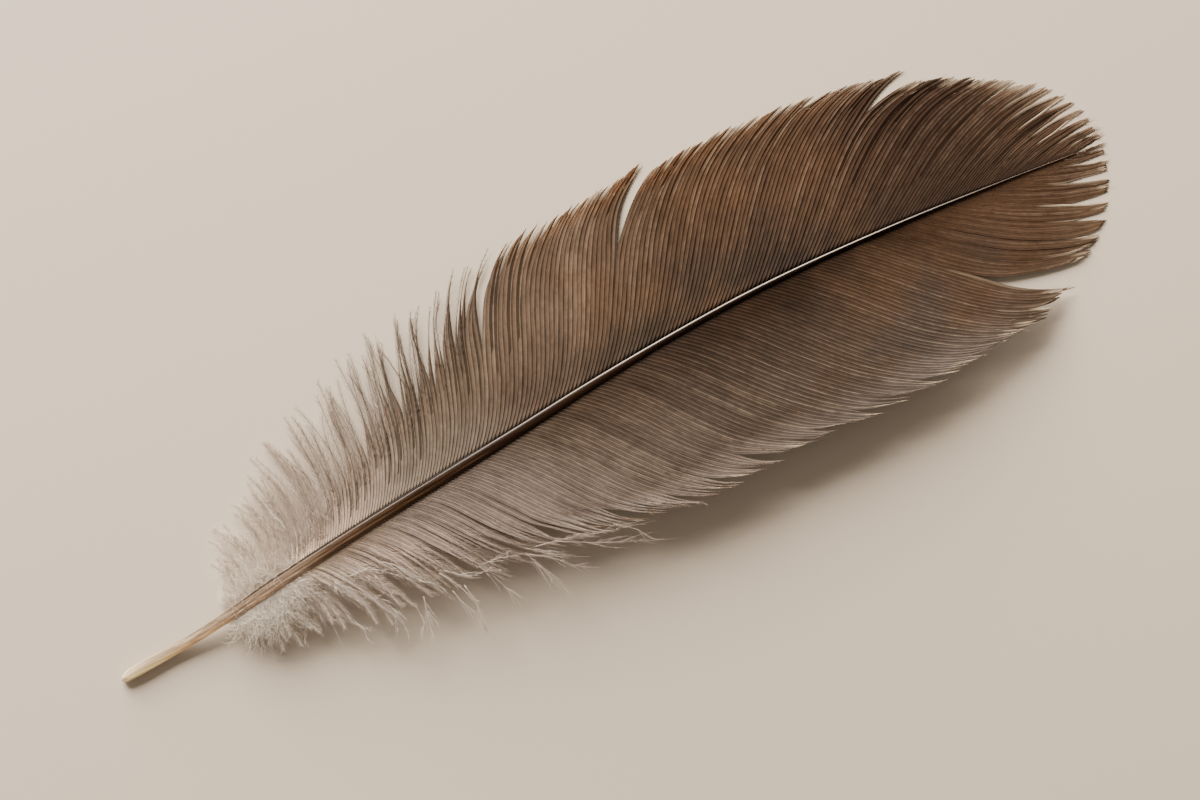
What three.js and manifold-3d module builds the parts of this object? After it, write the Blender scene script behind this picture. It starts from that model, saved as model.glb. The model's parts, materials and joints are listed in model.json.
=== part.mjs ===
// Goose quill feather, lying with its rounded side up.
// Millimetres. X runs along the feather from the quill's end to the vane's tip, Y runs across it
// towards the broad vane, and Z is up from the surface that the feather lies on.
import * as THREE from 'three';
import { mergeVertices } from 'three/addons/utils/BufferGeometryUtils.js';
import Module from 'manifold-3d';

// Driving dimensions.

// The shaft, station by station: distance along the feather, sideways place of its middle,
// height of its underside, width and depth. It lies flat on its first stretch, then bows up.
const SHAFT = [
  { x: 0.0, y: 0.35, under: 0.35, width: 0.7, depth: 0.6 },
  { x: 0.5, y: 0.45, under: 0.1, width: 1.4, depth: 1.2 },
  { x: 1.5, y: 0.6, under: 0.0, width: 1.9, depth: 1.6 },
  { x: 4.0, y: 0.75, under: 0.0, width: 2.05, depth: 1.75 },
  { x: 9.0, y: 0.98, under: 0.0, width: 1.9, depth: 1.72 },
  { x: 13.0, y: 1.2, under: 0.35, width: 1.8, depth: 1.7 },
  { x: 20.0, y: 1.85, under: 1.3, width: 1.9, depth: 1.75 },
  { x: 30.0, y: 3.2, under: 2.5, width: 2.25, depth: 1.9 },
  { x: 45.0, y: 4.9, under: 3.7, width: 2.2, depth: 1.9 },
  { x: 60.0, y: 6.3, under: 4.3, width: 2.2, depth: 1.85 },
  { x: 75.0, y: 7.65, under: 4.6, width: 1.9, depth: 1.7 },
  { x: 90.0, y: 9.15, under: 4.6, width: 1.6, depth: 1.5 },
  { x: 105.0, y: 10.3, under: 4.3, width: 1.2, depth: 1.25 },
  { x: 120.0, y: 10.95, under: 3.7, width: 0.95, depth: 1.05 },
  { x: 135.0, y: 10.8, under: 2.8, width: 0.7, depth: 0.85 },
  { x: 150.0, y: 10.1, under: 1.8, width: 0.55, depth: 0.7 },
  { x: 165.0, y: 8.85, under: 0.8, width: 0.45, depth: 0.55 },
  { x: 179.0, y: 7.5, under: 0.1, width: 0.35, depth: 0.4 },
];

// The barbs of each vane, by the place of their root along the feather: their angle to the
// feather's length at root, middle and tip in degrees, their length, and their tip's height.
const BROAD_BARBS = [
  { x: 20, atRoot: 50, atMiddle: 80, atTip: 100, length: 3.0, height: 1.0 },
  { x: 24, atRoot: 58, atMiddle: 94, atTip: 110, length: 9.5, height: 1.2 },
  { x: 30, atRoot: 55, atMiddle: 92, atTip: 112, length: 13.5, height: 1.6 },
  { x: 38, atRoot: 52, atMiddle: 88, atTip: 100, length: 19.0, height: 1.8 },
  { x: 47, atRoot: 50, atMiddle: 80, atTip: 88, length: 24.0, height: 1.6 },
  { x: 56, atRoot: 48, atMiddle: 75, atTip: 68, length: 28.0, height: 1.2 },
  { x: 65, atRoot: 45, atMiddle: 71, atTip: 45, length: 31.5, height: 0.8 },
  { x: 72, atRoot: 42, atMiddle: 68, atTip: 28, length: 34.2, height: 0.5 },
  { x: 92, atRoot: 42, atMiddle: 60, atTip: 22, length: 36.0, height: 0.2 },
  { x: 110, atRoot: 40, atMiddle: 50, atTip: 8, length: 38.7, height: 0.15 },
  { x: 128, atRoot: 38, atMiddle: 41, atTip: 0, length: 37.7, height: 0.15 },
  { x: 148, atRoot: 30, atMiddle: 25, atTip: -4, length: 31.3, height: 0.2 },
  { x: 160, atRoot: 26, atMiddle: 16, atTip: -2, length: 23.0, height: 0.25 },
  { x: 170, atRoot: 16, atMiddle: 9, atTip: 0, length: 13.4, height: 0.2 },
  { x: 178, atRoot: 6, atMiddle: 5, atTip: 2, length: 5.4, height: 0.15 },
];
const NARROW_BARBS = [
  { x: 20, atRoot: 40, atMiddle: 60, atTip: 80, length: 3.0, height: 1.4 },
  { x: 24, atRoot: 50, atMiddle: 72, atTip: 88, length: 8.5, height: 2.0 },
  { x: 30, atRoot: 45, atMiddle: 70, atTip: 85, length: 12.5, height: 3.2 },
  { x: 38, atRoot: 38, atMiddle: 60, atTip: 68, length: 19.0, height: 4.4 },
  { x: 47, atRoot: 35, atMiddle: 56, atTip: 58, length: 24.5, height: 5.2 },
  { x: 57, atRoot: 35, atMiddle: 55, atTip: 42, length: 28.5, height: 5.8 },
  { x: 68, atRoot: 36, atMiddle: 53, atTip: 25, length: 31.0, height: 6.2 },
  { x: 80, atRoot: 38, atMiddle: 52, atTip: 20, length: 34.0, height: 6.5 },
  { x: 92, atRoot: 38, atMiddle: 51, atTip: 15, length: 36.0, height: 6.5 },
  { x: 107, atRoot: 37, atMiddle: 48, atTip: 15, length: 40.3, height: 6.2 },
  { x: 120, atRoot: 38, atMiddle: 46, atTip: 10, length: 41.8, height: 5.0 },
  { x: 132, atRoot: 38, atMiddle: 44, atTip: 14, length: 39.6, height: 3.0 },
  { x: 139, atRoot: 40, atMiddle: 41, atTip: 8, length: 36.6, height: 1.7 },
  { x: 142, atRoot: 40, atMiddle: 39, atTip: 4, length: 37.4, height: 0.9 },
  { x: 150, atRoot: 38, atMiddle: 32, atTip: 10, length: 31.6, height: 0.45 },
  { x: 160, atRoot: 30, atMiddle: 25, atTip: 10, length: 23.0, height: 0.35 },
  { x: 170, atRoot: 20, atMiddle: 18, atTip: 12, length: 13.3, height: 0.25 },
  { x: 178, atRoot: 5, atMiddle: 6, atTip: 4, length: 5.2, height: 0.15 },
];

// The splits of each vane, where neighbouring barbs have come unzipped: root of the split, how far
// along the barb it starts, the angle that each side turns away by, and how many locks the vane
// has from this split to the next.
const BROAD_SPLITS = [
  { root: 20, from: 0, turn: 0, locks: 11 },
  { root: 54.5, from: 0.5, turn: 5, locks: 4 },
  { root: 69, from: 0.25, turn: 1.5, locks: 5 },
  { root: 92.5, from: 0.48, turn: 3.7, locks: 4 },
  { root: 116, from: 0.86, turn: 9, locks: 2 },
  { root: 128.5, from: 0.6, turn: 9, locks: 3 },
  { root: 145.7, from: 0.9, turn: 12, locks: 1 },
  { root: 152.5, from: 0.86, turn: 8, locks: 1 },
  { root: 158, from: 0.84, turn: 8, locks: 2 },
  { root: 168, from: 0.82, turn: 6, locks: 1 },
  { root: 174, from: 0.7, turn: 4, locks: 1 },
  { root: 178, from: 0, turn: 0, locks: 0 },
];
const NARROW_SPLITS = [
  { root: 20, from: 0, turn: 0, locks: 7 },
  { root: 42, from: 0.5, turn: 6, locks: 2 },
  { root: 48, from: 0.5, turn: 6, locks: 2 },
  { root: 55, from: 0.6, turn: 6, locks: 2 },
  { root: 61, from: 0.55, turn: 8, locks: 2 },
  { root: 69, from: 0.7, turn: 5, locks: 4 },
  { root: 88.5, from: 0.66, turn: 6, locks: 5 },
  { root: 112, from: 0.9, turn: 6, locks: 5 },
  { root: 140.8, from: 0.55, turn: 11, locks: 2 },
  { root: 150, from: 0.78, turn: 6, locks: 1 },
  { root: 153.8, from: 0.76, turn: 6, locks: 1 },
  { root: 158, from: 0.68, turn: 5, locks: 1 },
  { root: 164.3, from: 0.55, turn: 5, locks: 1 },
  { root: 170.8, from: 0.5, turn: 5, locks: 1 },
  { root: 178, from: 0, turn: 0, locks: 0 },
];

// Single long locks that stand out past the vane's edge: root, extra length and extra turn.
const BROAD_STRAYS = [
  { root: 30, extra: 2, turn: 0 },
  { root: 54, extra: 3, turn: 0 },
  { root: 67, extra: 3, turn: 0 },
];
const NARROW_STRAYS = [
  { root: 39, extra: 6, turn: 12 },
  { root: 47, extra: 7, turn: 16 },
  { root: 59.5, extra: 7, turn: 36 },
  { root: 68, extra: 9, turn: 6 },
  { root: 87, extra: 2.5, turn: 0 },
];

// Between the named splits the locks part only at their tips, and more deeply in the down.
const TIP_SPLIT_FROM = 0.92;
const DOWN_SPLIT_FROM = 0.42;
const DOWN_END = 50;
const VANE_START = 70;
const TIP_TURN = 2;
const DOWN_TURN = 5;
// A split pushes the barbs beside it aside, and a stray takes its nearest barbs along. Both fade
// over these lengths of shaft. A stray leaves its neighbours at this part of its barbs.
const SPLIT_REACH = 5;
const STRAY_REACH = 1.2;
const STRAY_FROM = 0.5;

// The vane is a thin sheet, thicker at the shaft than at its edge, and each lock has a raised
// middle line.
const THICK_AT_SHAFT = 0.7;
const THICK_AT_EDGE = 0.3;
const LOCK_RIDGE = 0.3;

// The feather lies rolled onto its broad vane, which falls steeply beside the shaft and lies down
// towards its edge (a power above 1), while the narrow vane stands off straight, edge raised.
const BROAD_FALL = 2;
const NARROW_FALL = 1;

// The shaft's cross-section: an oval cut off flat below its middle by this part of its half depth.
const SHAFT_SIDES = 12;
const SHAFT_SPACING = 5;
const FLAT_UNDERSIDE = 0.7;
// Barbs leave the shaft at this part of its depth, and start this part of its width off its middle.
const BARB_LEVEL = 0.62;
const BARB_SET_IN = 0.1;

// Places along a barb where the vane's mesh has a row of corners, from root (0) to tip (1).
const ROWS = [0, 0.12, 0.25, 0.38, 0.5, 0.61, 0.71, 0.8, 0.88, 0.95, 1];
const BARB_STEPS = 30;

const BARB_BROWN = 0x6f5a45;
const DEGREE = Math.PI / 180;

// A smooth curve through one column of a table, read at distance x along the feather.
function smooth(table, column, x) {
  const last = table.length - 1;
  if (x <= table[0].x) {
    return table[0][column];
  }
  if (x >= table[last].x) {
    return table[last][column];
  }
  let i = 0;
  while (table[i + 1].x < x) {
    i += 1;
  }
  const slope = (k) => {
    const a = table[Math.max(k - 1, 0)];
    const b = table[Math.min(k + 1, last)];
    return (b[column] - a[column]) / (b.x - a.x);
  };
  const from = table[i];
  const to = table[i + 1];
  const step = to.x - from.x;
  const u = (x - from.x) / step;
  return (
    (2 * u ** 3 - 3 * u ** 2 + 1) * from[column] +
    (u ** 3 - 2 * u ** 2 + u) * step * slope(i) +
    (3 * u ** 2 - 2 * u ** 3) * to[column] +
    (u ** 3 - u ** 2) * step * slope(i + 1)
  );
}

// How far a turn has come in at part t of the barb, when it starts at part `from`.
function easeIn(t, from) {
  return THREE.MathUtils.smoothstep(t, from, 1);
}

// The extra turn, in degrees, that splits and strays give the barb at this root. `edge` is 1 or -1
// for the barb just after or just before a split, and 0 elsewhere.
function extraTurn(vane, root, edge, t) {
  let turn = 0;
  for (const split of vane.splits) {
    const away = root - split.root;
    const way = Math.sign(away) || edge;
    turn -= way * split.turn * Math.exp(-Math.abs(away) / SPLIT_REACH) * easeIn(t, split.from);
  }
  for (const stray of vane.strays) {
    turn += stray.turn * strayShare(root, stray) * easeIn(t, STRAY_FROM);
  }
  return turn;
}

function strayShare(root, stray) {
  return Math.exp(-(((root - stray.root) / STRAY_REACH) ** 2));
}

// The point at part t of the barb at this root, on the middle of the vane's sheet.
function barbPoint(vane, root, edge, t) {
  const { barbs, side } = vane;
  let length = smooth(barbs, 'length', root);
  for (const stray of vane.strays) {
    length += stray.extra * strayShare(root, stray);
  }
  const atRoot = smooth(barbs, 'atRoot', root);
  const atMiddle = smooth(barbs, 'atMiddle', root);
  const atTip = smooth(barbs, 'atTip', root);
  let x = root;
  let y = smooth(SHAFT, 'y', root) + side * BARB_SET_IN * smooth(SHAFT, 'width', root);
  for (let k = 0; k < BARB_STEPS; k += 1) {
    const s = (t * (k + 0.5)) / BARB_STEPS;
    const bend = atRoot * (1 - s) * (1 - 2 * s) + atMiddle * 4 * s * (1 - s) + atTip * s * (2 * s - 1);
    const angle = (bend + extraTurn(vane, root, edge, s)) * DEGREE;
    x += ((length * t) / BARB_STEPS) * Math.cos(angle);
    y += ((length * t) / BARB_STEPS) * Math.sin(angle) * side;
  }
  const zRoot = smooth(SHAFT, 'under', root) + BARB_LEVEL * smooth(SHAFT, 'depth', root);
  const zTip = smooth(barbs, 'height', root);
  const z = zTip + (zRoot - zTip) * (1 - t) ** vane.fall;
  return new THREE.Vector3(x, y, z);
}

// The lock boundaries of a vane: the named splits, and the plain partings between them.
function lockBoundaries(vane) {
  const boundaries = [];
  vane.splits.forEach((split, i) => {
    boundaries.push({ root: split.root, from: split.from });
    for (let k = 1; k < split.locks; k += 1) {
      const root = THREE.MathUtils.lerp(split.root, vane.splits[i + 1].root, k / split.locks);
      const closed = THREE.MathUtils.smoothstep(root, DOWN_END, VANE_START);
      boundaries.push({
        root,
        from: THREE.MathUtils.lerp(DOWN_SPLIT_FROM, TIP_SPLIT_FROM, closed),
        turn: THREE.MathUtils.lerp(DOWN_TURN, TIP_TURN, closed),
      });
    }
  });
  return boundaries;
}

// One vane as a closed sheet: each lock has an edge line, a raised middle line and another edge
// line, neighbouring locks share their edge line up to their split, and past it each lock narrows
// to a point of its own.
function vaneGeometry(vane) {
  const corners = [];
  const faces = [];
  const boundaries = lockBoundaries(vane);
  const tipRow = ROWS.length - 1;
  const lastBoundary = boundaries.length - 1;
  const plain = boundaries.filter((boundary) => boundary.turn);
  const turned = { ...vane, splits: [...vane.splits, ...plain] };
  const zipRow = boundaries.map(({ from }, i) => {
    if (i === 0 || i === lastBoundary) {
      return 0;
    }
    return ROWS.findLastIndex((t) => t <= from);
  });

  // Adds the upper and lower corner at a place and returns their two numbers.
  function addPair(place, thickness, raise) {
    corners.push(place.x, place.y, place.z + thickness / 2 + raise);
    corners.push(place.x, place.y, place.z - thickness / 2);
    return { up: corners.length / 3 - 2, down: corners.length / 3 - 1 };
  }

  // Faces of the broad vane are wound one way, and those of its mirror image the other.
  function addFace(a, b, c) {
    faces.push(...(vane.side > 0 ? [a, b, c] : [a, c, b]));
  }
  function addStrip(a, b, c, d) {
    addFace(a, b, c);
    addFace(a, c, d);
  }

  const thicknessAt = (t) => THREE.MathUtils.lerp(THICK_AT_SHAFT, THICK_AT_EDGE, t);

  // The tip and the middle line of every lock come first, because its free edges lean on them.
  const locks = [];
  for (let j = 0; j < lastBoundary; j += 1) {
    const root = (boundaries[j].root + boundaries[j + 1].root) / 2;
    const tip = barbPoint(turned, root, 0, 1);
    corners.push(tip.x, tip.y, tip.z);
    const tipCorner = corners.length / 3 - 1;
    const middle = [];
    for (let r = 0; r < tipRow; r += 1) {
      const place = barbPoint(turned, root, 0, ROWS[r]);
      const raise = r === 0 ? 0 : LOCK_RIDGE * (1 - ROWS[r] / 2);
      middle.push({ place, pair: addPair(place, thicknessAt(ROWS[r]), raise) });
    }
    locks.push({ root, tipCorner, middle });
  }

  // Corners of a boundary line up to its split, shared by the locks on both sides.
  const shared = boundaries.map(({ root }, i) =>
    ROWS.slice(0, zipRow[i] + 1).map((t) => addPair(barbPoint(turned, root, 0, t), thicknessAt(t), 0)),
  );

  // A lock's whole edge line: the shared stretch, then its own, drawn in towards its middle line.
  function edgeLine(j, i) {
    const line = [...shared[i]];
    const edge = i === j ? 1 : -1;
    const from = ROWS[zipRow[i]];
    for (let r = zipRow[i] + 1; r < tipRow; r += 1) {
      const t = ROWS[r];
      const free = (t - from) / (1 - from);
      const own = barbPoint(turned, boundaries[i].root, edge, t);
      own.lerp(locks[j].middle[r].place, free ** 2);
      line.push(addPair(own, thicknessAt(t), 0));
    }
    return line;
  }

  for (let j = 0; j < lastBoundary; j += 1) {
    const { tipCorner, middle } = locks[j];
    const first = edgeLine(j, j);
    const second = edgeLine(j, j + 1);
    for (let r = 0; r < tipRow - 1; r += 1) {
      const near = [first[r], middle[r].pair, second[r]];
      const far = [first[r + 1], middle[r + 1].pair, second[r + 1]];
      for (let k = 0; k < 2; k += 1) {
        addStrip(near[k].up, near[k + 1].up, far[k + 1].up, far[k].up);
        addStrip(near[k].down, far[k].down, far[k + 1].down, near[k + 1].down);
      }
      if (r >= zipRow[j]) {
        addStrip(near[0].up, far[0].up, far[0].down, near[0].down);
      }
      if (r >= zipRow[j + 1]) {
        addStrip(near[2].up, near[2].down, far[2].down, far[2].up);
      }
    }
    const end = [first[tipRow - 1], middle[tipRow - 1].pair, second[tipRow - 1]];
    for (let k = 0; k < 2; k += 1) {
      addFace(end[k].up, end[k + 1].up, tipCorner);
      addFace(end[k].down, tipCorner, end[k + 1].down);
    }
    addFace(end[0].up, tipCorner, end[0].down);
    addFace(end[2].up, end[2].down, tipCorner);
    addStrip(first[0].up, first[0].down, middle[0].pair.down, middle[0].pair.up);
    addStrip(middle[0].pair.up, middle[0].pair.down, second[0].down, second[0].up);
  }
  const geometry = new THREE.BufferGeometry();
  geometry.setAttribute('position', new THREE.Float32BufferAttribute(corners, 3));
  geometry.setIndex(faces);
  return geometry;
}

// The shaft: rings of corners from end to end, closed by a fan at each end.
function shaftGeometry() {
  const corners = [];
  const faces = [];
  const places = [];
  SHAFT.forEach((station, i) => {
    places.push(station.x);
    const next = SHAFT[i + 1];
    const gap = next ? next.x - station.x : 0;
    const pieces = Math.ceil(gap / SHAFT_SPACING);
    for (let k = 1; k < pieces; k += 1) {
      places.push(station.x + (gap * k) / pieces);
    }
  });
  for (const x of places) {
    const width = smooth(SHAFT, 'width', x);
    const depth = smooth(SHAFT, 'depth', x);
    const under = Math.max(0, smooth(SHAFT, 'under', x));
    const y = smooth(SHAFT, 'y', x);
    for (let k = 0; k < SHAFT_SIDES; k += 1) {
      const around = ((k + 0.5) / SHAFT_SIDES) * 2 * Math.PI;
      const up = Math.max(Math.cos(around), -FLAT_UNDERSIDE);
      const height = (up + FLAT_UNDERSIDE) / (1 + FLAT_UNDERSIDE);
      corners.push(x, y + (width / 2) * Math.sin(around), under + depth * height);
    }
  }
  const ring = (i, k) => i * SHAFT_SIDES + (k % SHAFT_SIDES);
  for (let i = 0; i < places.length - 1; i += 1) {
    for (let k = 0; k < SHAFT_SIDES; k += 1) {
      faces.push(ring(i, k), ring(i + 1, k), ring(i + 1, k + 1));
      faces.push(ring(i, k), ring(i + 1, k + 1), ring(i, k + 1));
    }
  }
  const lastRing = places.length - 1;
  for (let k = 1; k < SHAFT_SIDES - 1; k += 1) {
    faces.push(ring(0, 0), ring(0, k), ring(0, k + 1));
    faces.push(ring(lastRing, 0), ring(lastRing, k + 1), ring(lastRing, k));
  }
  const geometry = new THREE.BufferGeometry();
  geometry.setAttribute('position', new THREE.Float32BufferAttribute(corners, 3));
  geometry.setIndex(faces);
  return geometry;
}

const wasm = await Module();
wasm.setup();

function toSolid(geometry) {
  const merged = mergeVertices(geometry, 1e-5);
  return new wasm.Manifold(
    new wasm.Mesh({
      numProp: 3,
      vertProperties: new Float32Array(merged.attributes.position.array),
      triVerts: new Uint32Array(merged.index.array),
    }),
  );
}

function toGeometry(solid) {
  const mesh = solid.getMesh();
  const geometry = new THREE.BufferGeometry();
  geometry.setAttribute('position', new THREE.BufferAttribute(mesh.vertProperties, 3));
  geometry.setIndex(new THREE.BufferAttribute(mesh.triVerts, 1));
  return geometry;
}

const broadVane = {
  side: 1,
  fall: BROAD_FALL,
  barbs: BROAD_BARBS,
  splits: BROAD_SPLITS,
  strays: BROAD_STRAYS,
};
const narrowVane = {
  side: -1,
  fall: NARROW_FALL,
  barbs: NARROW_BARBS,
  splits: NARROW_SPLITS,
  strays: NARROW_STRAYS,
};

const solid = toSolid(shaftGeometry())
  .add(toSolid(vaneGeometry(broadVane)))
  .add(toSolid(vaneGeometry(narrowVane)));

const feather = new THREE.Mesh(
  toGeometry(solid),
  new THREE.MeshStandardMaterial({ color: BARB_BROWN, roughness: 0.75, metalness: 0 }),
);
feather.name = 'feather';

// The origin is under the middle of the feather's box, on the surface that it lies on.
feather.geometry.computeBoundingBox();
const box = feather.geometry.boundingBox;
feather.position.set(-(box.min.x + box.max.x) / 2, -(box.min.y + box.max.y) / 2, -box.min.z);

const group = new THREE.Group();
group.add(feather);

export default group;
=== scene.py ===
import json
import math

import bpy
import numpy as np
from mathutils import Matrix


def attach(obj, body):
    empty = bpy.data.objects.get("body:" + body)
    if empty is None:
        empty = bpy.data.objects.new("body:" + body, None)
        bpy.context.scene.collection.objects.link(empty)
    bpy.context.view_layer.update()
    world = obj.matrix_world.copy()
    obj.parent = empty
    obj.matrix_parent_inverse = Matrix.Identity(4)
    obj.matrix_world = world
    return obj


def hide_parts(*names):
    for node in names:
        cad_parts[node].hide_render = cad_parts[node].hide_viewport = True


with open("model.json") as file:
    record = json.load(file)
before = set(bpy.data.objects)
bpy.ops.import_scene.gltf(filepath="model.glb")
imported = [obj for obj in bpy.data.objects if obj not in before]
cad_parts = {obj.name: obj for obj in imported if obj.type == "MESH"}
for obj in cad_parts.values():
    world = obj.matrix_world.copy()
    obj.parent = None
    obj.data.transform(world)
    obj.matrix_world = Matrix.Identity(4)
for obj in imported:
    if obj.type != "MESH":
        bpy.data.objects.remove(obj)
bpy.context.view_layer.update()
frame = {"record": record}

# ----------------------------------------------------------------------
# The shaft. One tapered bar of horn: a bare translucent quill that lies on the surface, then a
# solid rib between the vanes, grooved along its upper side, that bows up and thins to a hair.
# ----------------------------------------------------------------------
MM = 0.001
# Station: along, across and underside of the shaft, then its width and depth.
SHAFT = MM * np.array([
    (0.0, 0.35, 0.35, 0.7, 0.6),
    (0.5, 0.45, 0.1, 1.4, 1.2),
    (1.5, 0.6, 0.0, 1.9, 1.6),
    (4.0, 0.75, 0.0, 2.05, 1.75),
    (9.0, 0.98, 0.0, 1.9, 1.72),
    (13.0, 1.2, 0.35, 1.8, 1.7),
    (20.0, 1.85, 1.3, 1.9, 1.75),
    (30.0, 3.2, 2.5, 2.25, 1.9),
    (45.0, 4.9, 3.7, 2.2, 1.9),
    (60.0, 6.3, 4.3, 2.2, 1.85),
    (75.0, 7.65, 4.6, 1.9, 1.7),
    (90.0, 9.15, 4.6, 1.6, 1.5),
    (105.0, 10.3, 4.3, 1.2, 1.25),
    (120.0, 10.95, 3.7, 0.95, 1.05),
    (135.0, 10.8, 2.8, 0.7, 0.85),
    (150.0, 10.1, 1.8, 0.55, 0.7),
    (165.0, 8.85, 0.8, 0.42, 0.55),
    (179.0, 7.5, 0.1, 0.2, 0.25),
])
ACROSS, UNDER, WIDTH, DEPTH = 1, 2, 3, 4
# The record's rest point is this far along and across from the feather's own zero.
REST_AT = np.array([6.25, 0.945, 0.0]) * MM
ORIGIN = np.array(frame["record"]["mounts"][0]["pos_m"]) - REST_AT
SHAFT_STEP = 2.2 * MM
SHAFT_SIDES = 16
GROOVE_FROM, GROOVE_TO = 14 * MM, 72 * MM
GROOVE_WIDTH = 0.09 * MM
GROOVE_DEPTH = 0.06 * MM
GROOVE_TILT = math.radians(20)
# The pale rib, partly a paler streak of horn and partly a painted highlight, runs this far beside the
# shaft's middle, or at this share of its half width.
RIB_ASIDE = 0.65 * MM
RIB_SHARE, RIB_SHARE_AT_TIP = 0.66, 0.2
RIB_NARROWS = (132 * MM, 152 * MM)
STREAKS_PER_METRE = (30, 2400, 2400)


def smooth(table, column, along):
    """Reads one column of a station table along a smooth curve through its rows."""
    knots, values = table[:, 0], table[:, column]
    slopes = np.empty_like(values)
    slopes[1:-1] = (values[2:] - values[:-2]) / (knots[2:] - knots[:-2])
    slopes[0] = (values[1] - values[0]) / (knots[1] - knots[0])
    slopes[-1] = (values[-1] - values[-2]) / (knots[-1] - knots[-2])
    along = np.clip(along, knots[0], knots[-1])
    i = np.clip(np.searchsorted(knots, along, side="right") - 1, 0, len(knots) - 2)
    step = knots[i + 1] - knots[i]
    u = (along - knots[i]) / step
    start = (2 * u**3 - 3 * u**2 + 1) * values[i] + (u**3 - 2 * u**2 + u) * step * slopes[i]
    end = (3 * u**2 - 2 * u**3) * values[i + 1] + (u**3 - u**2) * step * slopes[i + 1]
    return start + end


def shaft_middle(along):
    """The middle of the shaft's cross-section, in the object's frame."""
    under = np.maximum(smooth(SHAFT, UNDER, along), 0)
    height = under + smooth(SHAFT, DEPTH, along) / 2
    return ORIGIN + np.array([along, smooth(SHAFT, ACROSS, along), height])


def select_only(piece):
    bpy.ops.object.select_all(action="DESELECT")
    piece.select_set(True)
    bpy.context.view_layer.objects.active = piece


def place_mesh(piece):
    """Puts a piece's place, turn and size into its mesh."""
    select_only(piece)
    bpy.ops.object.transform_apply(location=True, rotation=True, scale=True)


def apply_modifiers(piece):
    select_only(piece)
    for modifier in list(piece.modifiers):
        bpy.ops.object.modifier_apply(modifier=modifier.name)


end_rows = [0.0, 0.18, 0.5, 1.0, 1.7]
shaft_rows = [row * MM for row in end_rows]
shaft_rows += list(np.arange(3 * MM, SHAFT[-1, 0], SHAFT_STEP)) + [SHAFT[-1, 0]]

bpy.ops.object.select_all(action="DESELECT")
bpy.ops.mesh.primitive_circle_add(
    vertices=SHAFT_SIDES, radius=0.5, fill_type="NGON",
    location=shaft_middle(0.0), rotation=(0, math.pi / 2, 0),
)
shaft = bpy.context.object
shaft.name = shaft.data.name = "shaft"
shaft.scale = (smooth(SHAFT, DEPTH, 0.0), smooth(SHAFT, WIDTH, 0.0), 1)
place_mesh(shaft)
bpy.ops.object.mode_set(mode="EDIT")
bpy.ops.mesh.select_all(action="SELECT")
for row, next_row in zip(shaft_rows, shaft_rows[1:]):
    step = shaft_middle(next_row) - shaft_middle(row)
    wider = smooth(SHAFT, WIDTH, next_row) / smooth(SHAFT, WIDTH, row)
    deeper = smooth(SHAFT, DEPTH, next_row) / smooth(SHAFT, DEPTH, row)
    bpy.ops.mesh.extrude_region_move(TRANSFORM_OT_translate={"value": tuple(step)})
    bpy.ops.transform.resize(
        value=(1, wider, deeper), center_override=tuple(shaft_middle(next_row))
    )
bpy.ops.mesh.select_all(action="SELECT")
bpy.ops.mesh.normals_make_consistent(inside=False)
bpy.ops.object.mode_set(mode="OBJECT")


def select_groove(piece, lean):
    """Selects the strip of faces along the shaft that leans this far to the broad vane's side."""
    half_side = math.pi / SHAFT_SIDES
    for face in piece.data.polygons:
        along = face.center.x - ORIGIN[0]
        tilt = math.atan2(face.normal.y, face.normal.z)
        inside = GROOVE_FROM < along < GROOVE_TO and abs(face.normal.x) < 0.5
        face.select = bool(inside and abs(tilt - lean) < half_side)


for lean in (GROOVE_TILT * 2.2, -GROOVE_TILT * 0.6):
    select_only(shaft)
    for vertex in shaft.data.vertices:
        vertex.select = False
    for edge in shaft.data.edges:
        edge.select = False
    select_groove(shaft, lean)
    bpy.ops.object.mode_set(mode="EDIT")
    bpy.ops.mesh.select_mode(type="FACE")
    bpy.ops.mesh.inset(thickness=GROOVE_WIDTH, depth=-GROOVE_DEPTH)
    bpy.ops.object.mode_set(mode="OBJECT")
smoother = shaft.modifiers.new("smooth", "SUBSURF")
smoother.levels = smoother.render_levels = 1
apply_modifiers(shaft)
bpy.ops.object.shade_smooth()

# How far each point lies from the pale rib, towards the broad vane, in millimetres.
beside_rib = shaft.data.attributes.new("beside_rib", "FLOAT", "POINT")
for number, vertex in enumerate(shaft.data.vertices):
    along = vertex.co.x - ORIGIN[0]
    aside = vertex.co.y - ORIGIN[1] - smooth(SHAFT, ACROSS, along)
    share = np.interp(along, RIB_NARROWS, [RIB_SHARE, RIB_SHARE_AT_TIP])
    rib = min(RIB_ASIDE, share * smooth(SHAFT, WIDTH, along) / 2)
    beside_rib.data[number].value = (aside - rib) / MM


def new_material(name):
    material = bpy.data.materials.new(name)
    material.use_nodes = True
    return material, material.node_tree, material.node_tree.nodes["Principled BSDF"]


def add_node(tree, kind, settings=None, **inputs):
    """Adds a shader node, sets its fields, and sets or links its inputs by name or number."""
    node = tree.nodes.new(kind)
    for field, value in (settings or {}).items():
        setattr(node, field, value)
    for key, value in inputs.items():
        socket = node.inputs[int(key[1:])] if key[0] == "i" and key[1:].isdigit() else node.inputs[key]
        if isinstance(value, bpy.types.NodeSocket):
            tree.links.new(value, socket)
        else:
            socket.default_value = value
    return node


def attribute(tree, name):
    return add_node(tree, "ShaderNodeAttribute", {"attribute_name": name}).outputs["Fac"]


def math_node(tree, operation, first, second=0.0):
    settings = {"operation": operation}
    return add_node(tree, "ShaderNodeMath", settings, i0=first, i1=second).outputs[0]


def product(tree, value, *factors):
    for factor in factors:
        value = math_node(tree, "MULTIPLY", value, factor)
    return value


def map_range(tree, value, from_min, from_max, to_min=0.0, to_max=1.0):
    return add_node(tree, "ShaderNodeMapRange", Value=value, **{
        "From Min": from_min, "From Max": from_max, "To Min": to_min, "To Max": to_max,
    }).outputs[0]


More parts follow.
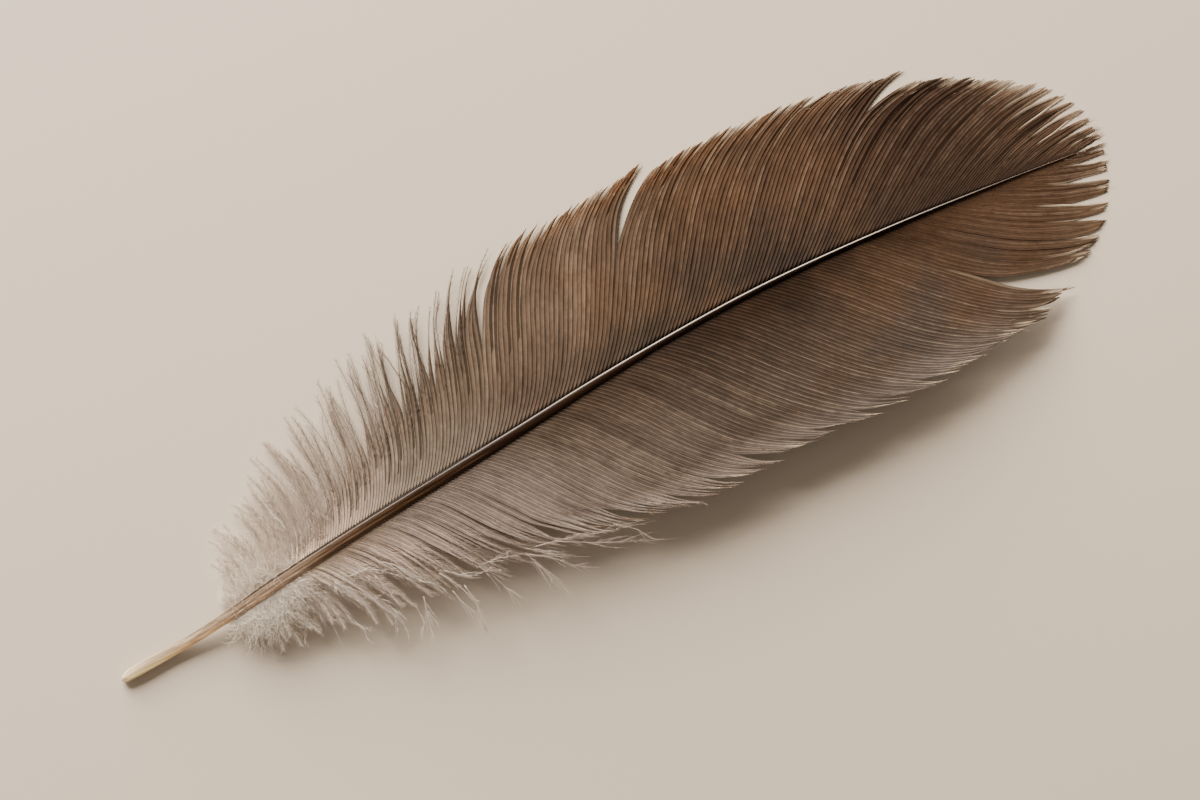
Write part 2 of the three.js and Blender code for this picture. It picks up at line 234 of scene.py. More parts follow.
def noise(tree, place, scale, detail, roughness):
    return add_node(
        tree, "ShaderNodeTexNoise", Vector=place, Scale=scale, Detail=detail, Roughness=roughness
    ).outputs["Fac"]


def object_place(tree):
    return add_node(tree, "ShaderNodeTexCoord").outputs["Object"]


def place_share(tree):
    """How far along the feather a point lies, from 0 at the quill's end to 1 at the tip."""
    along = add_node(tree, "ShaderNodeSeparateXYZ", i0=object_place(tree)).outputs["X"]
    return map_range(tree, along, float(ORIGIN[0]), float(ORIGIN[0] + SHAFT[-1, 0]))


def color_ramp(tree, factor, stops):
    """A ramp through (place, colour) stops."""
    ramp = add_node(tree, "ShaderNodeValToRGB", i0=factor)
    elements = ramp.color_ramp.elements
    for place, _ in stops[2:]:
        elements.new(place)
    for element, (place, color) in zip(elements, stops):
        element.position = place
        element.color = (*color, 1)
    return ramp.outputs["Color"]


def mix_color(tree, factor, first, second, blend="MIX"):
    mix = add_node(tree, "ShaderNodeMix", {"data_type": "RGBA", "blend_type": blend})
    for number, value in ((0, factor), (6, first), (7, second)):
        if isinstance(value, bpy.types.NodeSocket):
            tree.links.new(value, mix.inputs[number])
        else:
            mix.inputs[number].default_value = value if number == 0 else (*value, 1)
    return mix.outputs[2]


def finish_surface(tree, surface, color, values, height=None, bump=(0, 0)):
    """Sets a material's colour, its constant values and, from a height, its fine relief."""
    tree.links.new(color, surface.inputs["Base Color"])
    for name, value in values.items():
        surface.inputs[name].default_value = value
    if height is not None:
        relief = add_node(
            tree, "ShaderNodeBump", Height=height, Strength=bump[0], Distance=bump[1])
        tree.links.new(relief.outputs[0], surface.inputs["Normal"])


horn, tree, surface = new_material("horn")
length_share = place_share(tree)
horn_color = color_ramp(tree, length_share, [
    (0.0, (0.63, 0.53, 0.37)),
    (0.045, (0.48, 0.405, 0.28)),
    (0.08, (0.36, 0.30, 0.215)),
    (0.12, (0.27, 0.21, 0.152)),
    (0.17, (0.26, 0.20, 0.147)),
    (0.22, (0.095, 0.062, 0.040)),
    (0.30, (0.040, 0.022, 0.011)),
    (0.40, (0.022, 0.011, 0.006)),
    (1.0, (0.016, 0.009, 0.005)),
])
stretched = add_node(
    tree, "ShaderNodeMapping", Vector=object_place(tree), Scale=STREAKS_PER_METRE
).outputs[0]
streak = noise(tree, stretched, 1.0, 3.0, 0.6)
streak_light = color_ramp(tree, streak, [(0.35, (0.45, 0.42, 0.4)), (0.65, (1.35, 1.3, 1.25))])
horn_color = mix_color(tree, 0.75, horn_color, streak_light, "MULTIPLY")
# Across it, painted light: the body is painted lighter on its far side, which lies in shade, as if light
# came through the horn; a thin pale rib on its near side is partly a paler streak and partly a painted
# highlight; and the edge towards the broad vane is darker.
SIDE_GAIN = 2.2
beside = attribute(tree, "beside_rib")
painted_side_light = color_ramp(tree, map_range(tree, beside, -2.0, 0.5), [
    (0.0, (1.0, 0.95, 0.9)), (0.3, (1.0, 0.95, 0.9)), (0.42, (0.72, 0.68, 0.64)),
    (0.54, (0.45, 0.42, 0.39)), (0.7, (0.3, 0.27, 0.25)), (0.78, (0.16, 0.14, 0.12)),
    (0.87, (0.06, 0.05, 0.04)), (1.0, (0.06, 0.05, 0.04)),
])
# The rib's colour: a paler streak of horn with a painted highlight along it.
rib_and_highlight_color = color_ramp(tree, length_share, [
    (0.12, (0.20, 0.14, 0.10)), (0.34, (0.10, 0.075, 0.055)), (0.44, (0.24, 0.19, 0.15)),
    (0.55, (0.46, 0.39, 0.32)), (0.8, (0.40, 0.33, 0.27)), (0.93, (0.07, 0.045, 0.03)),
])
near_rib_highlight = map_range(tree, math_node(tree, "ABSOLUTE", beside), 0.01, 0.09, 1.0, 0.0)
# How much of the painted side light the shaft takes along its length, less at the bare quill.
sided = color_ramp(tree, length_share, [(0.0, (0.4, 0.4, 0.4)), (0.14, (1, 1, 1))])
painted_side_light = mix_color(tree, 1.0, painted_side_light, (SIDE_GAIN,) * 3, "MULTIPLY")
painted_side_light = mix_color(tree, sided, (1, 1, 1), painted_side_light)
horn_color = mix_color(tree, 1.0, horn_color, painted_side_light, "MULTIPLY")
grooved = color_ramp(tree, length_share, [(0.08, (0, 0, 0)), (0.17, (1, 1, 1))])
horn_color = mix_color(tree, product(tree, near_rib_highlight, grooved), horn_color, rib_and_highlight_color)
finish_surface(tree, surface, horn_color, {
    "Roughness": 0.36, "Specular IOR Level": 0.05, "Coat Weight": 0.05, "Coat Roughness": 0.15,
    "Subsurface Radius": (1.0, 0.9, 0.75), "Subsurface Scale": 3 * MM,
}, streak, bump=(0.1, 0.03 * MM))
# Light goes through the bare quill, and less and less through the shaft.
see_through = map_range(tree, length_share, 0.08, 0.2, 1.0, 0.2)
tree.links.new(see_through, surface.inputs["Subsurface Weight"])
shaft.data.materials.append(horn)
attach(shaft, "root")
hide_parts("feather")

# ----------------------------------------------------------------------
# The barbs of the two vanes. Each barb is a thin horn blade that grows out of the shaft's side and
# curves towards the tip, hooked to its neighbours by its fringe, so that they make a closed sheet
# with a raised line along every barb. They part in locks at the edge, and hang loose at the base.
# ----------------------------------------------------------------------
# Barbs by the place of their root: angle to the shaft at root, middle and tip in degrees, length
# and height of the tip, and the part of the barb from which it is free of its neighbours.
BROAD_BARBS = np.array([
    (20, 50, 80, 100, 3.0, 1.0, 0.05),
    (24, 58, 94, 110, 9.5, 1.2, 0.08),
    (30, 55, 92, 112, 13.5, 1.6, 0.12),
    (38, 52, 88, 100, 19.0, 1.8, 0.35),
    (47, 50, 80, 88, 24.0, 1.6, 0.52),
    (56, 48, 75, 68, 28.0, 1.2, 0.64),
    (65, 45, 71, 45, 31.5, 0.8, 0.78),
    (72, 42, 68, 28, 34.2, 0.5, 1),
    (92, 42, 60, 22, 36.0, 0.2, 1.1),
    (110, 40, 50, 8, 38.7, 0.15, 1.1),
    (128, 38, 41, 0, 37.7, 0.15, 1.1),
    (148, 30, 25, -4, 31.3, 0.2, 1.1),
    (160, 26, 16, -2, 23.0, 0.12, 1.1),
    (170, 16, 9, 0, 13.4, 0.1, 1.1),
    (178, 6, 5, 2, 5.4, 0.1, 1.1),
])
NARROW_BARBS = np.array([
    (20, 40, 60, 80, 3.0, 1.4, 0.05),
    (24, 50, 72, 88, 7.5, 2.0, 0.1),
    (30, 45, 70, 85, 10.0, 3.2, 0.25),
    (38, 38, 60, 68, 14.5, 4.4, 0.55),
    (47, 35, 56, 50, 19.0, 5.2, 0.68),
    (57, 35, 55, 34, 23.5, 5.8, 0.76),
    (68, 36, 53, 24, 29.5, 6.2, 0.86),
    (80, 38, 52, 20, 34.0, 6.5, 0.94),
    (92, 38, 51, 15, 36.0, 6.5, 0.96),
    (107, 37, 48, 15, 40.3, 6.2, 0.98),
    (120, 38, 46, 10, 41.8, 5.0, 1.02),
    (132, 38, 44, 14, 39.6, 3.0, 1.1),
    (139.3, 40, 41, 8, 35.8, 1.7, 1.1),
    (140.8, 40, 39, 4, 37.6, 0.5, 1.1),
    (150, 38, 32, 10, 31.6, 0.2, 1.1),
    (160, 30, 25, 10, 23.0, 0.12, 1.1),
    (170, 20, 18, 12, 13.3, 0.1, 1.1),
    (178, 5, 6, 4, 5.2, 0.1, 1.1),
])
AT_ROOT, AT_MIDDLE, AT_TIP, LENGTH, TIP_HEIGHT, FREE_FROM = 1, 2, 3, 4, 5, 6
# Splits, where neighbours have come unhooked: root, the parts of the barb where the split starts
# and where it is fully open, its width there, and how far along the shaft the barbs make way.
BROAD_SPLITS = np.array([
    (51.0, 0.5, 0.9, 0.4, 1.5), (55.2, 0.5, 0.9, 0.6, 1.5), (57.6, 0.55, 0.9, 0.6, 1.5),
    (60.4, 0.55, 0.9, 0.8, 1.5), (63.0, 0.6, 0.9, 0.8, 1.5), (65.2, 0.6, 0.9, 0.6, 1.5),
    (67.2, 0.72, 0.95, 0.9, 1.5), (69.2, 0.4, 0.8, 1.3, 2.5), (77.0, 0.92, 1.0, 0.3, 1.0),
    (81.5, 0.93, 1.0, 0.3, 1.0), (86.5, 0.92, 1.0, 0.3, 1.0), (92.6, 0.52, 0.82, 2.0, 5.0),
    (99.0, 0.94, 1.0, 0.3, 1.0), (105.5, 0.93, 1.0, 0.4, 1.0), (115.9, 0.88, 0.98, 0.7, 2.0),
    (121.3, 0.93, 1.0, 0.4, 1.5), (124.3, 0.95, 1.0, 0.4, 1.0), (129.4, 0.68, 0.98, 2.2, 5.0),
    (133.0, 0.96, 1.0, 0.3, 1.0), (137.0, 0.96, 1.0, 0.3, 1.0), (141.0, 0.96, 1.0, 0.3, 1.0),
    (146.5, 0.86, 0.98, 0.7, 1.5), (150.7, 0.8, 0.97, 0.8, 1.5), (154.4, 0.77, 0.97, 1.0, 1.5),
    (158.2, 0.74, 0.97, 1.0, 1.5), (161.8, 0.68, 0.95, 1.0, 1.5), (165.2, 0.62, 0.92, 1.0, 1.5),
    (169.2, 0.62, 0.95, 0.8, 1.5), (173.5, 0.6, 0.95, 0.5, 1.0),
])
NARROW_SPLITS = np.array([
    (42.0, 0.4, 0.8, 1.2, 1.5), (48.0, 0.45, 0.8, 1.2, 1.5), (55.0, 0.5, 0.85, 1.2, 1.5),
    (61.0, 0.55, 0.85, 1.2, 2.0), (69.0, 0.66, 0.9, 1.0, 2.0), (76.0, 0.76, 0.95, 0.8, 2.0),
    (82.0, 0.8, 0.95, 0.6, 2.0), (88.5, 0.7, 0.9, 1.1, 2.5), (97.0, 0.86, 0.97, 0.5, 2.0),
    (103.0, 0.84, 0.96, 0.6, 2.0), (112.0, 0.86, 0.97, 0.6, 2.0), (119.0, 0.93, 1.0, 0.4, 2.0),
    (127.0, 0.95, 1.0, 0.3, 2.0), (134.0, 0.95, 1.0, 0.3, 2.0), (140.2, 0.46, 0.98, 4.0, 4.5),
    (144.6, 0.88, 0.98, 0.6, 1.5), (148.8, 0.8, 1.0, 1.1, 1.6), (153.0, 0.74, 0.98, 1.3, 1.6),
    (157.5, 0.66, 0.96, 1.4, 1.6), (164.3, 0.54, 0.92, 1.4, 1.8), (170.9, 0.54, 0.92, 1.1, 1.6),
    (175.0, 0.7, 0.92, 0.5, 1.0),
])
# Locks by the place of their root: their width there, the part of the barb from which its barbs
# draw together, and how far they do.
BROAD_LOCKS = np.array([
    (20, 1.6, 0.3, 0.1), (40, 1.8, 0.4, 0.25), (52, 2.2, 0.5, 0.6), (69.1, 2.4, 0.6, 0.7),
    (69.3, 3.0, 0.95, 0.2),
    (143, 3.6, 0.95, 0.1), (150, 3.6, 0.88, 0.2), (165, 3.2, 0.84, 0.22), (178, 2.4, 0.8, 0.2),
])
NARROW_LOCKS = np.array([
    (20, 1.6, 0.3, 0.1), (45, 2.2, 0.5, 0.2), (80, 3.4, 0.7, 0.3), (108, 4.4, 0.8, 0.3),
    (125, 5.0, 0.9, 0.25), (139, 4.4, 0.92, 0.25), (150, 4.4, 0.9, 0.2), (178, 3.4, 0.86, 0.2),
])
LOCK_SIZE, DRAW_FROM, DRAW = 1, 2, 3
# Distance between the roots of neighbouring barbs, along the shaft.
BARB_PITCH = MM * np.array([
    (20, 0.36), (28, 0.42), (40, 0.5), (60, 0.62), (75, 0.82), (145, 0.82), (158, 0.66), (178, 0.56),
])
# How unevenly long neighbouring barbs are, as a share of their length.
UNEVEN = np.array([(20, 0.26), (30, 0.16), (50, 0.07), (68, 0.02), (80, 0.006), (178, 0.004)])
# How much shorter a lock's outermost barbs are than its middle one, as a share, and how much more
# steeply barbs come down from the shaft near the feather's tip.
LOCK_POINT = 0.008
FALL_AT_TIP = 1.5
UNEVEN[:, 0] *= MM
for rows in (BROAD_BARBS, NARROW_BARBS):
    rows[:, [0, LENGTH, TIP_HEIGHT]] *= MM
for rows in (BROAD_SPLITS, NARROW_SPLITS):
    rows[:, [0, 3, 4]] *= MM
for rows in (BROAD_LOCKS, NARROW_LOCKS):
    rows[:, [0, LOCK_SIZE]] *= MM
# Section of a barb, round from its edge nearest the feather's tip: across in half widths, and up
# in ridge heights. The ridge is the barb proper, the flat wings are its fringe of barbules.
BARB_SECTION = np.array([
    (1.0, 0.0), (0.2, 0.1), (0.07, 1.0), (-0.07, 1.0), (-0.2, 0.1), (-1.0, 0.0),
    (-0.3, -0.3), (0.3, -0.3),
])
WING_EDGES = (0, 5)
BARB_STEPS = 36
RIM_REACH = 0.4 * MM
RIDGE_HEIGHT = 0.07 * MM
OVERLAP = 0.74
THREAD = 0.036 * MM
SHINGLE = 0.03 * MM
# How high up the shaft's side the barbs leave it, as a share of its depth, and how far inside it.
BARB_LEVEL, BARB_LEVEL_AT_TIP = 0.62, 0.31
BARB_SET_IN = 0.3
# No barb or hair lies lower than this above the surface.
LOWEST = 0.04 * MM
# The gap between barbs is taken over this many neighbours on each side.
NEIGHBOURS = 4
# Between these roots the barbs go from loose down to a closed vane.
LOOSE_UNTIL, CLOSED_FROM = 30 * MM, 72 * MM
# Degrees by which a barb of the closed vane strays at its tip, alone and with its neighbours.
OWN_STRAY, SHARED_STRAY = 0.4, 1
SHARED_EVERY = 3 * MM
FREE_SPREAD = 0.05
# A barb's long and short bends in the sheet, and how far its middle is off its place.
RIPPLE, RIPPLE_WAVES, RIPPLE_EVERY = 0.08 * MM, 1.6, 9 * MM
WOBBLE = 0.035 * MM
OWN_SHIFT = 0.03 * MM
# How far the two edges of a lock tip up or down, and how far single barbs rise, closed or loose.
LOCK_TILT = (-0.045 * MM, 0.005 * MM)
OWN_RISE, LOOSE_RISE = 0.04 * MM, 0.5 * MM


def ease(value, start, end):
    """Runs smoothly from 0 at start to 1 at end."""
    u = np.clip((value - start) / (end - start), 0, 1)
    return u * u * (3 - 2 * u)


def waver(rng, places, spacing):
    """A smooth random value between -1 and 1 along the shaft, a knot at every spacing."""
    knots = np.arange(places.min() - spacing, places.max() + 2 * spacing, spacing)
    return np.interp(places, knots, rng.uniform(-1, 1, len(knots)))


def root_places(first, last):
    roots = [first]
    while roots[-1] < last:
        roots.append(roots[-1] + np.interp(roots[-1], BARB_PITCH[:, 0], BARB_PITCH[:, 1]))
    return np.array(roots)


def lock_cuts(vane, rng):
    """The places along the shaft where one lock ends and the next starts."""
    ends = [vane["barbs"][0, 0], *vane["splits"][:, 0], vane["barbs"][-1, 0] + MM]
    cuts = [ends[0]]
    for start, end in zip(ends, ends[1:]):
        size = np.interp((start + end) / 2, vane["locks"][:, 0], vane["locks"][:, LOCK_SIZE])
        count = max(1, round((end - start) / size))
        inner = start + (end - start) * np.arange(1, count) / count
        cuts += list(inner + rng.uniform(-0.25, 0.25, count - 1) * size) + [end]
    return np.array(cuts)


def barb_field(vane, rng):
    """All barbs of a vane as they lie: their points and headings, and what goes with them."""
    barbs, side = vane["barbs"], vane["side"]
    roots = root_places(barbs[0, 0], barbs[-1, 0])
    t = np.linspace(0, 1, BARB_STEPS + 1)[None, :]
    mid = (t[:, 1:] + t[:, :-1]) / 2
    at_root, at_middle, at_tip, length, tip_height, free_from = (
        smooth(barbs, column, roots)[:, None]
        for column in (AT_ROOT, AT_MIDDLE, AT_TIP, LENGTH, TIP_HEIGHT, FREE_FROM)
    )
    spread = FREE_SPREAD * rng.normal(0, 1, free_from.shape).clip(-1.5, 1.5)
    free_from = free_from + spread * (free_from < 1)
    loose = 1 - ease(roots, LOOSE_UNTIL, CLOSED_FROM)[:, None]
    own = rng.normal(0, 1, (len(roots), 1)).clip(-2, 2)
    uneven = np.interp(roots, UNEVEN[:, 0], UNEVEN[:, 1])[:, None]
    length = length * (1 + uneven * rng.normal(0, 1, loose.shape).clip(-2, 2))
    cuts = lock_cuts(vane, rng)
    lock = np.clip(np.searchsorted(cuts, roots, side="right") - 1, 0, len(cuts) - 2)
    in_lock = 2 * (roots - cuts[lock]) / (cuts[lock + 1] - cuts[lock]) - 1
    length = length * (1 - LOCK_POINT * in_lock[:, None] ** 2)
    bend = at_root * (1 - mid) * (1 - 2 * mid) + at_middle * 4 * mid * (1 - mid)
    bend = bend + at_tip * mid * (2 * mid - 1)
    shared = waver(rng, roots, SHARED_EVERY)[:, None]
    stray = (OWN_STRAY + vane["stray"] * loose) * own
    stray = stray + (SHARED_STRAY + vane["clump"] * loose) * shared
    bend = bend + stray * mid**2
    heading = np.radians(bend) * side
    zeros = np.zeros_like(own)
    step = length / BARB_STEPS
    start_y = smooth(SHAFT, ACROSS, roots) + side * BARB_SET_IN * smooth(SHAFT, WIDTH, roots)
    x = roots[:, None] + np.hstack([zeros, np.cumsum(step * np.cos(heading), axis=1)])
    y = start_y[:, None] + np.hstack([zeros, np.cumsum(step * np.sin(heading), axis=1)])
    heading = np.hstack([heading[:, :1], (heading[:, 1:] + heading[:, :-1]) / 2, heading[:, -1:]])

    # The gap to the next barb, square to the barb, smoothed over the neighbours.
    pitch = np.interp(roots, BARB_PITCH[:, 0], BARB_PITCH[:, 1])
    number = np.arange(len(roots))
    near = np.maximum(number - NEIGHBOURS, 0)
    far = np.minimum(number + NEIGHBOURS, len(roots) - 1)
    apart_x, apart_y = (x[far] - x[near]), (y[far] - y[near])
    gap = np.abs(apart_x * np.sin(heading) - apart_y * np.cos(heading))
    gap = gap / (far - near)[:, None]

    centre = (cuts[lock] + cuts[lock + 1]) / 2
    draw_from, draw = (
        np.interp(centre, vane["locks"][:, 0], vane["locks"][:, column])
        for column in (DRAW_FROM, DRAW)
    )
    draw_from = draw_from + rng.uniform(-0.04, 0.04, len(cuts))[lock]
    draw = draw * rng.uniform(0.6, 1.2, len(cuts))[lock]
    drawn = draw[:, None] * ease(t, draw_from[:, None], 1.06)
    half_lock = (cuts[lock + 1] - cuts[lock]) / 2 / pitch
    aside = -in_lock[:, None] * half_lock[:, None] * gap * drawn
    # Barbs beside a split: frayed thinner there, and painted pale where their frayed edges catch the
    # light.
    frayed_and_lit = np.zeros_like(aside)
    for root, start, end, width, reach in vane["splits"]:
        distance = roots - root
        way = np.sign(distance) * width / 2 * np.exp(-np.abs(distance) / reach)
        aside = aside + way[:, None] * ease(t, start, end)
        beside = np.exp(-((distance[:, None] / RIM_REACH) ** 2))
        frayed_and_lit = np.maximum(frayed_and_lit, beside * ease(t, start - 0.25, start + 0.1))
    ripple = RIPPLE_WAVES * t + rng.uniform(0, 1, (len(roots), 1)) * 0.12
    ripple = np.sin(2 * math.pi * (ripple + waver(rng, roots, RIPPLE_EVERY)[:, None]))
    aside = aside + RIPPLE * ripple * t + OWN_SHIFT * own * ease(t, 0, 0.3)
    bends = rng.uniform(1.5, 4.5, (len(roots), 1))
    wobble = np.sin(2 * math.pi * (bends * t + rng.uniform(0, 1, (len(roots), 1))))
    aside = aside + WOBBLE * wobble * ease(t, 0, 0.25)

    level = BARB_LEVEL + (BARB_LEVEL_AT_TIP - BARB_LEVEL) * ease(roots, 100 * MM, 150 * MM)
    level = smooth(SHAFT, UNDER, roots) + level * smooth(SHAFT, DEPTH, roots)
    fall = vane["fall"] + FALL_AT_TIP * ease(roots, *vane["flatter"])[:, None]
    z = tip_height + (level[:, None] - tip_height) * (1 - t) ** fall
    lock_tilt = rng.uniform(*LOCK_TILT, len(cuts))[lock][:, None]
    z = z + lock_tilt * in_lock[:, None] * ease(t, 0.1, 0.7)
    rise = OWN_RISE + LOOSE_RISE * loose
    z = z + rise * rng.normal(0, 1, loose.shape).clip(-2, 2) * t
    z = np.maximum(z, LOWEST)
    tipward = np.stack([np.sin(heading), -np.cos(heading)], axis=2) * side
    points = np.stack([x, y, z], axis=2)
    points[:, :, :2] += tipward * aside[:, :, None]
    return {
        "points": points + ORIGIN, "heading": heading, "roots": roots, "t": t, "gap": gap,
        "length": length, "free_from": free_from, "drawn": drawn, "loose": loose, "frayed_and_lit": frayed_and_lit,
        "tone": rng.uniform(-1, 1, len(cuts))[lock][:, None],
    }


def rod_template(steps, sides):
    """One straight rod, 1 long, of which all barbs and hairs are bent copies."""
    bpy.ops.object.select_all(action="DESELECT")
    bpy.ops.mesh.primitive_circle_add(
        vertices=sides, radius=1, fill_type="NGON", rotation=(math.pi / 2, 0, math.pi / 2)
    )
    rod = bpy.context.object
    place_mesh(rod)
    bpy.ops.object.mode_set(mode="EDIT")
    bpy.ops.mesh.select_all(action="SELECT")
    bpy.ops.mesh.extrude_region_move(TRANSFORM_OT_translate={"value": (1, 0, 0)})
    bpy.ops.mesh.select_all(action="SELECT")
    bpy.ops.mesh.normals_make_consistent(inside=False)
    bpy.ops.mesh.select_all(action="DESELECT")
    bpy.ops.object.mode_set(mode="OBJECT")
    for edge in rod.data.edges:
        first, second = (rod.data.vertices[number].co.x for number in edge.vertices)
        edge.select = abs(first - second) > 0.5
    bpy.ops.object.mode_set(mode="EDIT")
    bpy.ops.mesh.select_mode(type="EDGE")
    bpy.ops.mesh.subdivide(number_cuts=steps - 1)
    bpy.ops.object.mode_set(mode="OBJECT")
    corners = np.array([vertex.co for vertex in rod.data.vertices])
    faces = [tuple(face.vertices) for face in rod.data.polygons]
    mesh = rod.data
    bpy.data.objects.remove(rod)
    bpy.data.meshes.remove(mesh)
    row = np.rint(corners[:, 0] * steps).astype(int)
    turn = (np.arctan2(corners[:, 2], corners[:, 1]) / (2 * math.pi)) % 1.0
    corner = np.floor(turn * sides + 0.1).astype(int) % sides
    return {"row": row, "corner": corner, "faces": faces, "sides": sides}


# Room left free beside and at the ends of each rod's strip in the UV map, as shares of the strip.
STRIP_MARGIN, STRIP_END = 0.05, 0.02


def join_copies(name, rod, places, attributes, columns, crisp=()):
    """One mesh of many bent rods: places is rods by corners by 3, and each attribute is rods by
    corners. In the UV map each rod has a strip of its own, in so many columns. The corners named
    as crisp keep a sharp edge along the rod."""
    count, corners, _ = places.shape
    shift = (np.arange(count) * corners)[:, None, None]
    all_faces = []
    for size in (rod["sides"], 4):
        faces = np.array([face for face in rod["faces"] if len(face) == size])
        all_faces += (faces[None] + shift).reshape(-1, size).tolist()
    mesh = bpy.data.meshes.new(name)
    mesh.from_pydata(places.reshape(-1, 3).tolist(), [], all_faces)
    for key, values in attributes.items():
        layer = mesh.attributes.new(key, "FLOAT", "POINT")
        values = np.broadcast_to(values, (count, corners))
        layer.data.foreach_set("value", np.ascontiguousarray(values, dtype=np.float32).ravel())
    loops = np.empty(len(mesh.loops), dtype=np.int64)
    mesh.loops.foreach_get("vertex_index", loops)
    totals = np.empty(len(mesh.polygons), dtype=np.int64)
    mesh.polygons.foreach_get("loop_total", totals)
    starts = np.cumsum(totals) - totals
    corner = rod["corner"][loops % corners]
    last = np.maximum.reduceat(corner, starts).repeat(totals)
    first = np.minimum.reduceat(corner, starts).repeat(totals)
    closing = (last - first > 1) & (corner == 0) & (totals == 4).repeat(totals)
    corner = np.where(closing, rod["sides"], corner)
    strip = loops // corners
    rows_of_strips = math.ceil(count / columns)
    u = STRIP_MARGIN + (1 - 2 * STRIP_MARGIN) * corner / rod["sides"]
    u = (strip % columns + u) / columns
    v = rod["row"][loops % corners] / rod["row"].max()
    v = (strip // columns + STRIP_END + (1 - 2 * STRIP_END) * v) / rows_of_strips
    uv = mesh.uv_layers.new(name="OFBake")
    uv.data.foreach_set("uv", np.stack([u, v], axis=1).astype(np.float32).ravel())
    mesh.shade_smooth()
    ends = np.empty(2 * len(mesh.edges), dtype=np.int64)
    mesh.edges.foreach_get("vertices", ends)
    ends = rod["corner"][ends % corners].reshape(-1, 2)
    sharp = np.isin(ends[:, 0], crisp) & (ends[:, 0] == ends[:, 1])
    mesh.edges.foreach_set("use_edge_sharp", sharp)
    piece = bpy.data.objects.new(name, mesh)
    bpy.context.scene.collection.objects.link(piece)
    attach(piece, "root")
    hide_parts("feather")
    return piece


barb_rod = rod_template(BARB_STEPS, len(BARB_SECTION))


def lay_barbs(name, vane, field, rng):
    """Bends a rod along every barb of the field and gives it the barb's section."""
    t, drawn = field["t"], field["drawn"]
    hooked = 1 - ease(t, field["free_from"] - 0.22, field["free_from"] + 0.1)
    half = THREAD + (OVERLAP * field["gap"] - THREAD).clip(0) * hooked * (1 - 0.45 * drawn)
    half = half * (1 - 0.7 * ease(t, 0.96, 1.0)) * (1 - 0.45 * field["frayed_and_lit"])
    half = half * (0.4 + 0.6 * ease(t, 0.0, 0.03))
    flat = 1 - 0.6 * ease(field["roots"], 125 * MM, 150 * MM)[:, None]
    height = flat * RIDGE_HEIGHT * (0.45 + 0.55 * hooked) * (1 - 0.45 * t)
    height = height * (1 - 0.5 * ease(t, 0.94, 1))
    row = barb_rod["row"]
    across, up = BARB_SECTION[barb_rod["corner"]].T
    normal = np.stack([np.sin(field["heading"]), -np.cos(field["heading"])], axis=2) * vane["side"]
    places = field["points"][:, row].copy()
    places[:, :, :2] += normal[:, row] * (across * half[:, row])[:, :, None]
    places[:, :, 2] += up * height[:, row]
    places[:, :, 2] -= SHINGLE * across * (flat * hooked)[:, row] * (1 - 0.4 * t[:, row])
    roots = field["roots"]
    attributes = {
        "along": t[:, row], "across": across[None, :], "hooked": hooked[:, row],
        "strand": rng.uniform(0, 1, (len(roots), 1)), "tone": field["tone"],
        "frayed_and_lit": field["frayed_and_lit"][:, row],
        "root": roots[:, None] / SHAFT[-1, 0],
    }
    piece = join_copies(name, barb_rod, places, attributes, len(roots), WING_EDGES)
    return piece


# For each vane: the side that it is on, how steeply its barbs come down from the shaft, the roots
# between which they become steeper, and degrees by which loose barbs stray, alone and in clumps.
broad_side = {
    "side": 1, "fall": 2, "flatter": (108 * MM, 162 * MM), "stray": 15, "clump": 3,
    "barbs": BROAD_BARBS, "splits": BROAD_SPLITS, "locks": BROAD_LOCKS,
}
narrow_side = {
    "side": -1, "fall": 1, "flatter": (136 * MM, 144 * MM), "stray": 16, "clump": 8,
    "barbs": NARROW_BARBS, "splits": NARROW_SPLITS, "locks": NARROW_LOCKS,
}
broad_field = barb_field(broad_side, np.random.default_rng(11))
narrow_field = barb_field(narrow_side, np.random.default_rng(23))
broad_vane = lay_barbs("broad_vane", broad_side, broad_field, np.random.default_rng(31))
narrow_vane = lay_barbs("narrow_vane", narrow_side, narrow_field, np.random.default_rng(37))


# Painted light and shade across a barb, from its edge nearest the quill's end: flat wing, bright ridge
# that is partly a painted highlight, and a wing painted dark with the shade under the next barb. Stops
# run 0 to 1 across, and are then scaled up.
BARB_PAINTED_LIGHT = [
    (0.0, 0.32), (0.12, 0.42), (0.40, 0.47), (0.46, 0.58), (0.5, 0.68), (0.54, 0.46),
    (0.6, 0.26), (1.0, 0.22),
]
BARB_PAINTED_LIGHT_GAIN = 2.2
# A painted highlight: a band of barbs, where the vane bends and catches the light, painted paler on both
# sides of the shaft, this far along it.
LIT_CREASE, LIT_CREASE_LIGHT = 0.495, 1.14


def stretched_place(tree, *axes):
    """A place for a texture, from up to three values and how often it varies along each."""
    parts = {f"i{number}": product(tree, value, scale)
             for number, (value, scale) in enumerate(axes)}
    return add_node(tree, "ShaderNodeCombineXYZ", **parts).outputs[0]


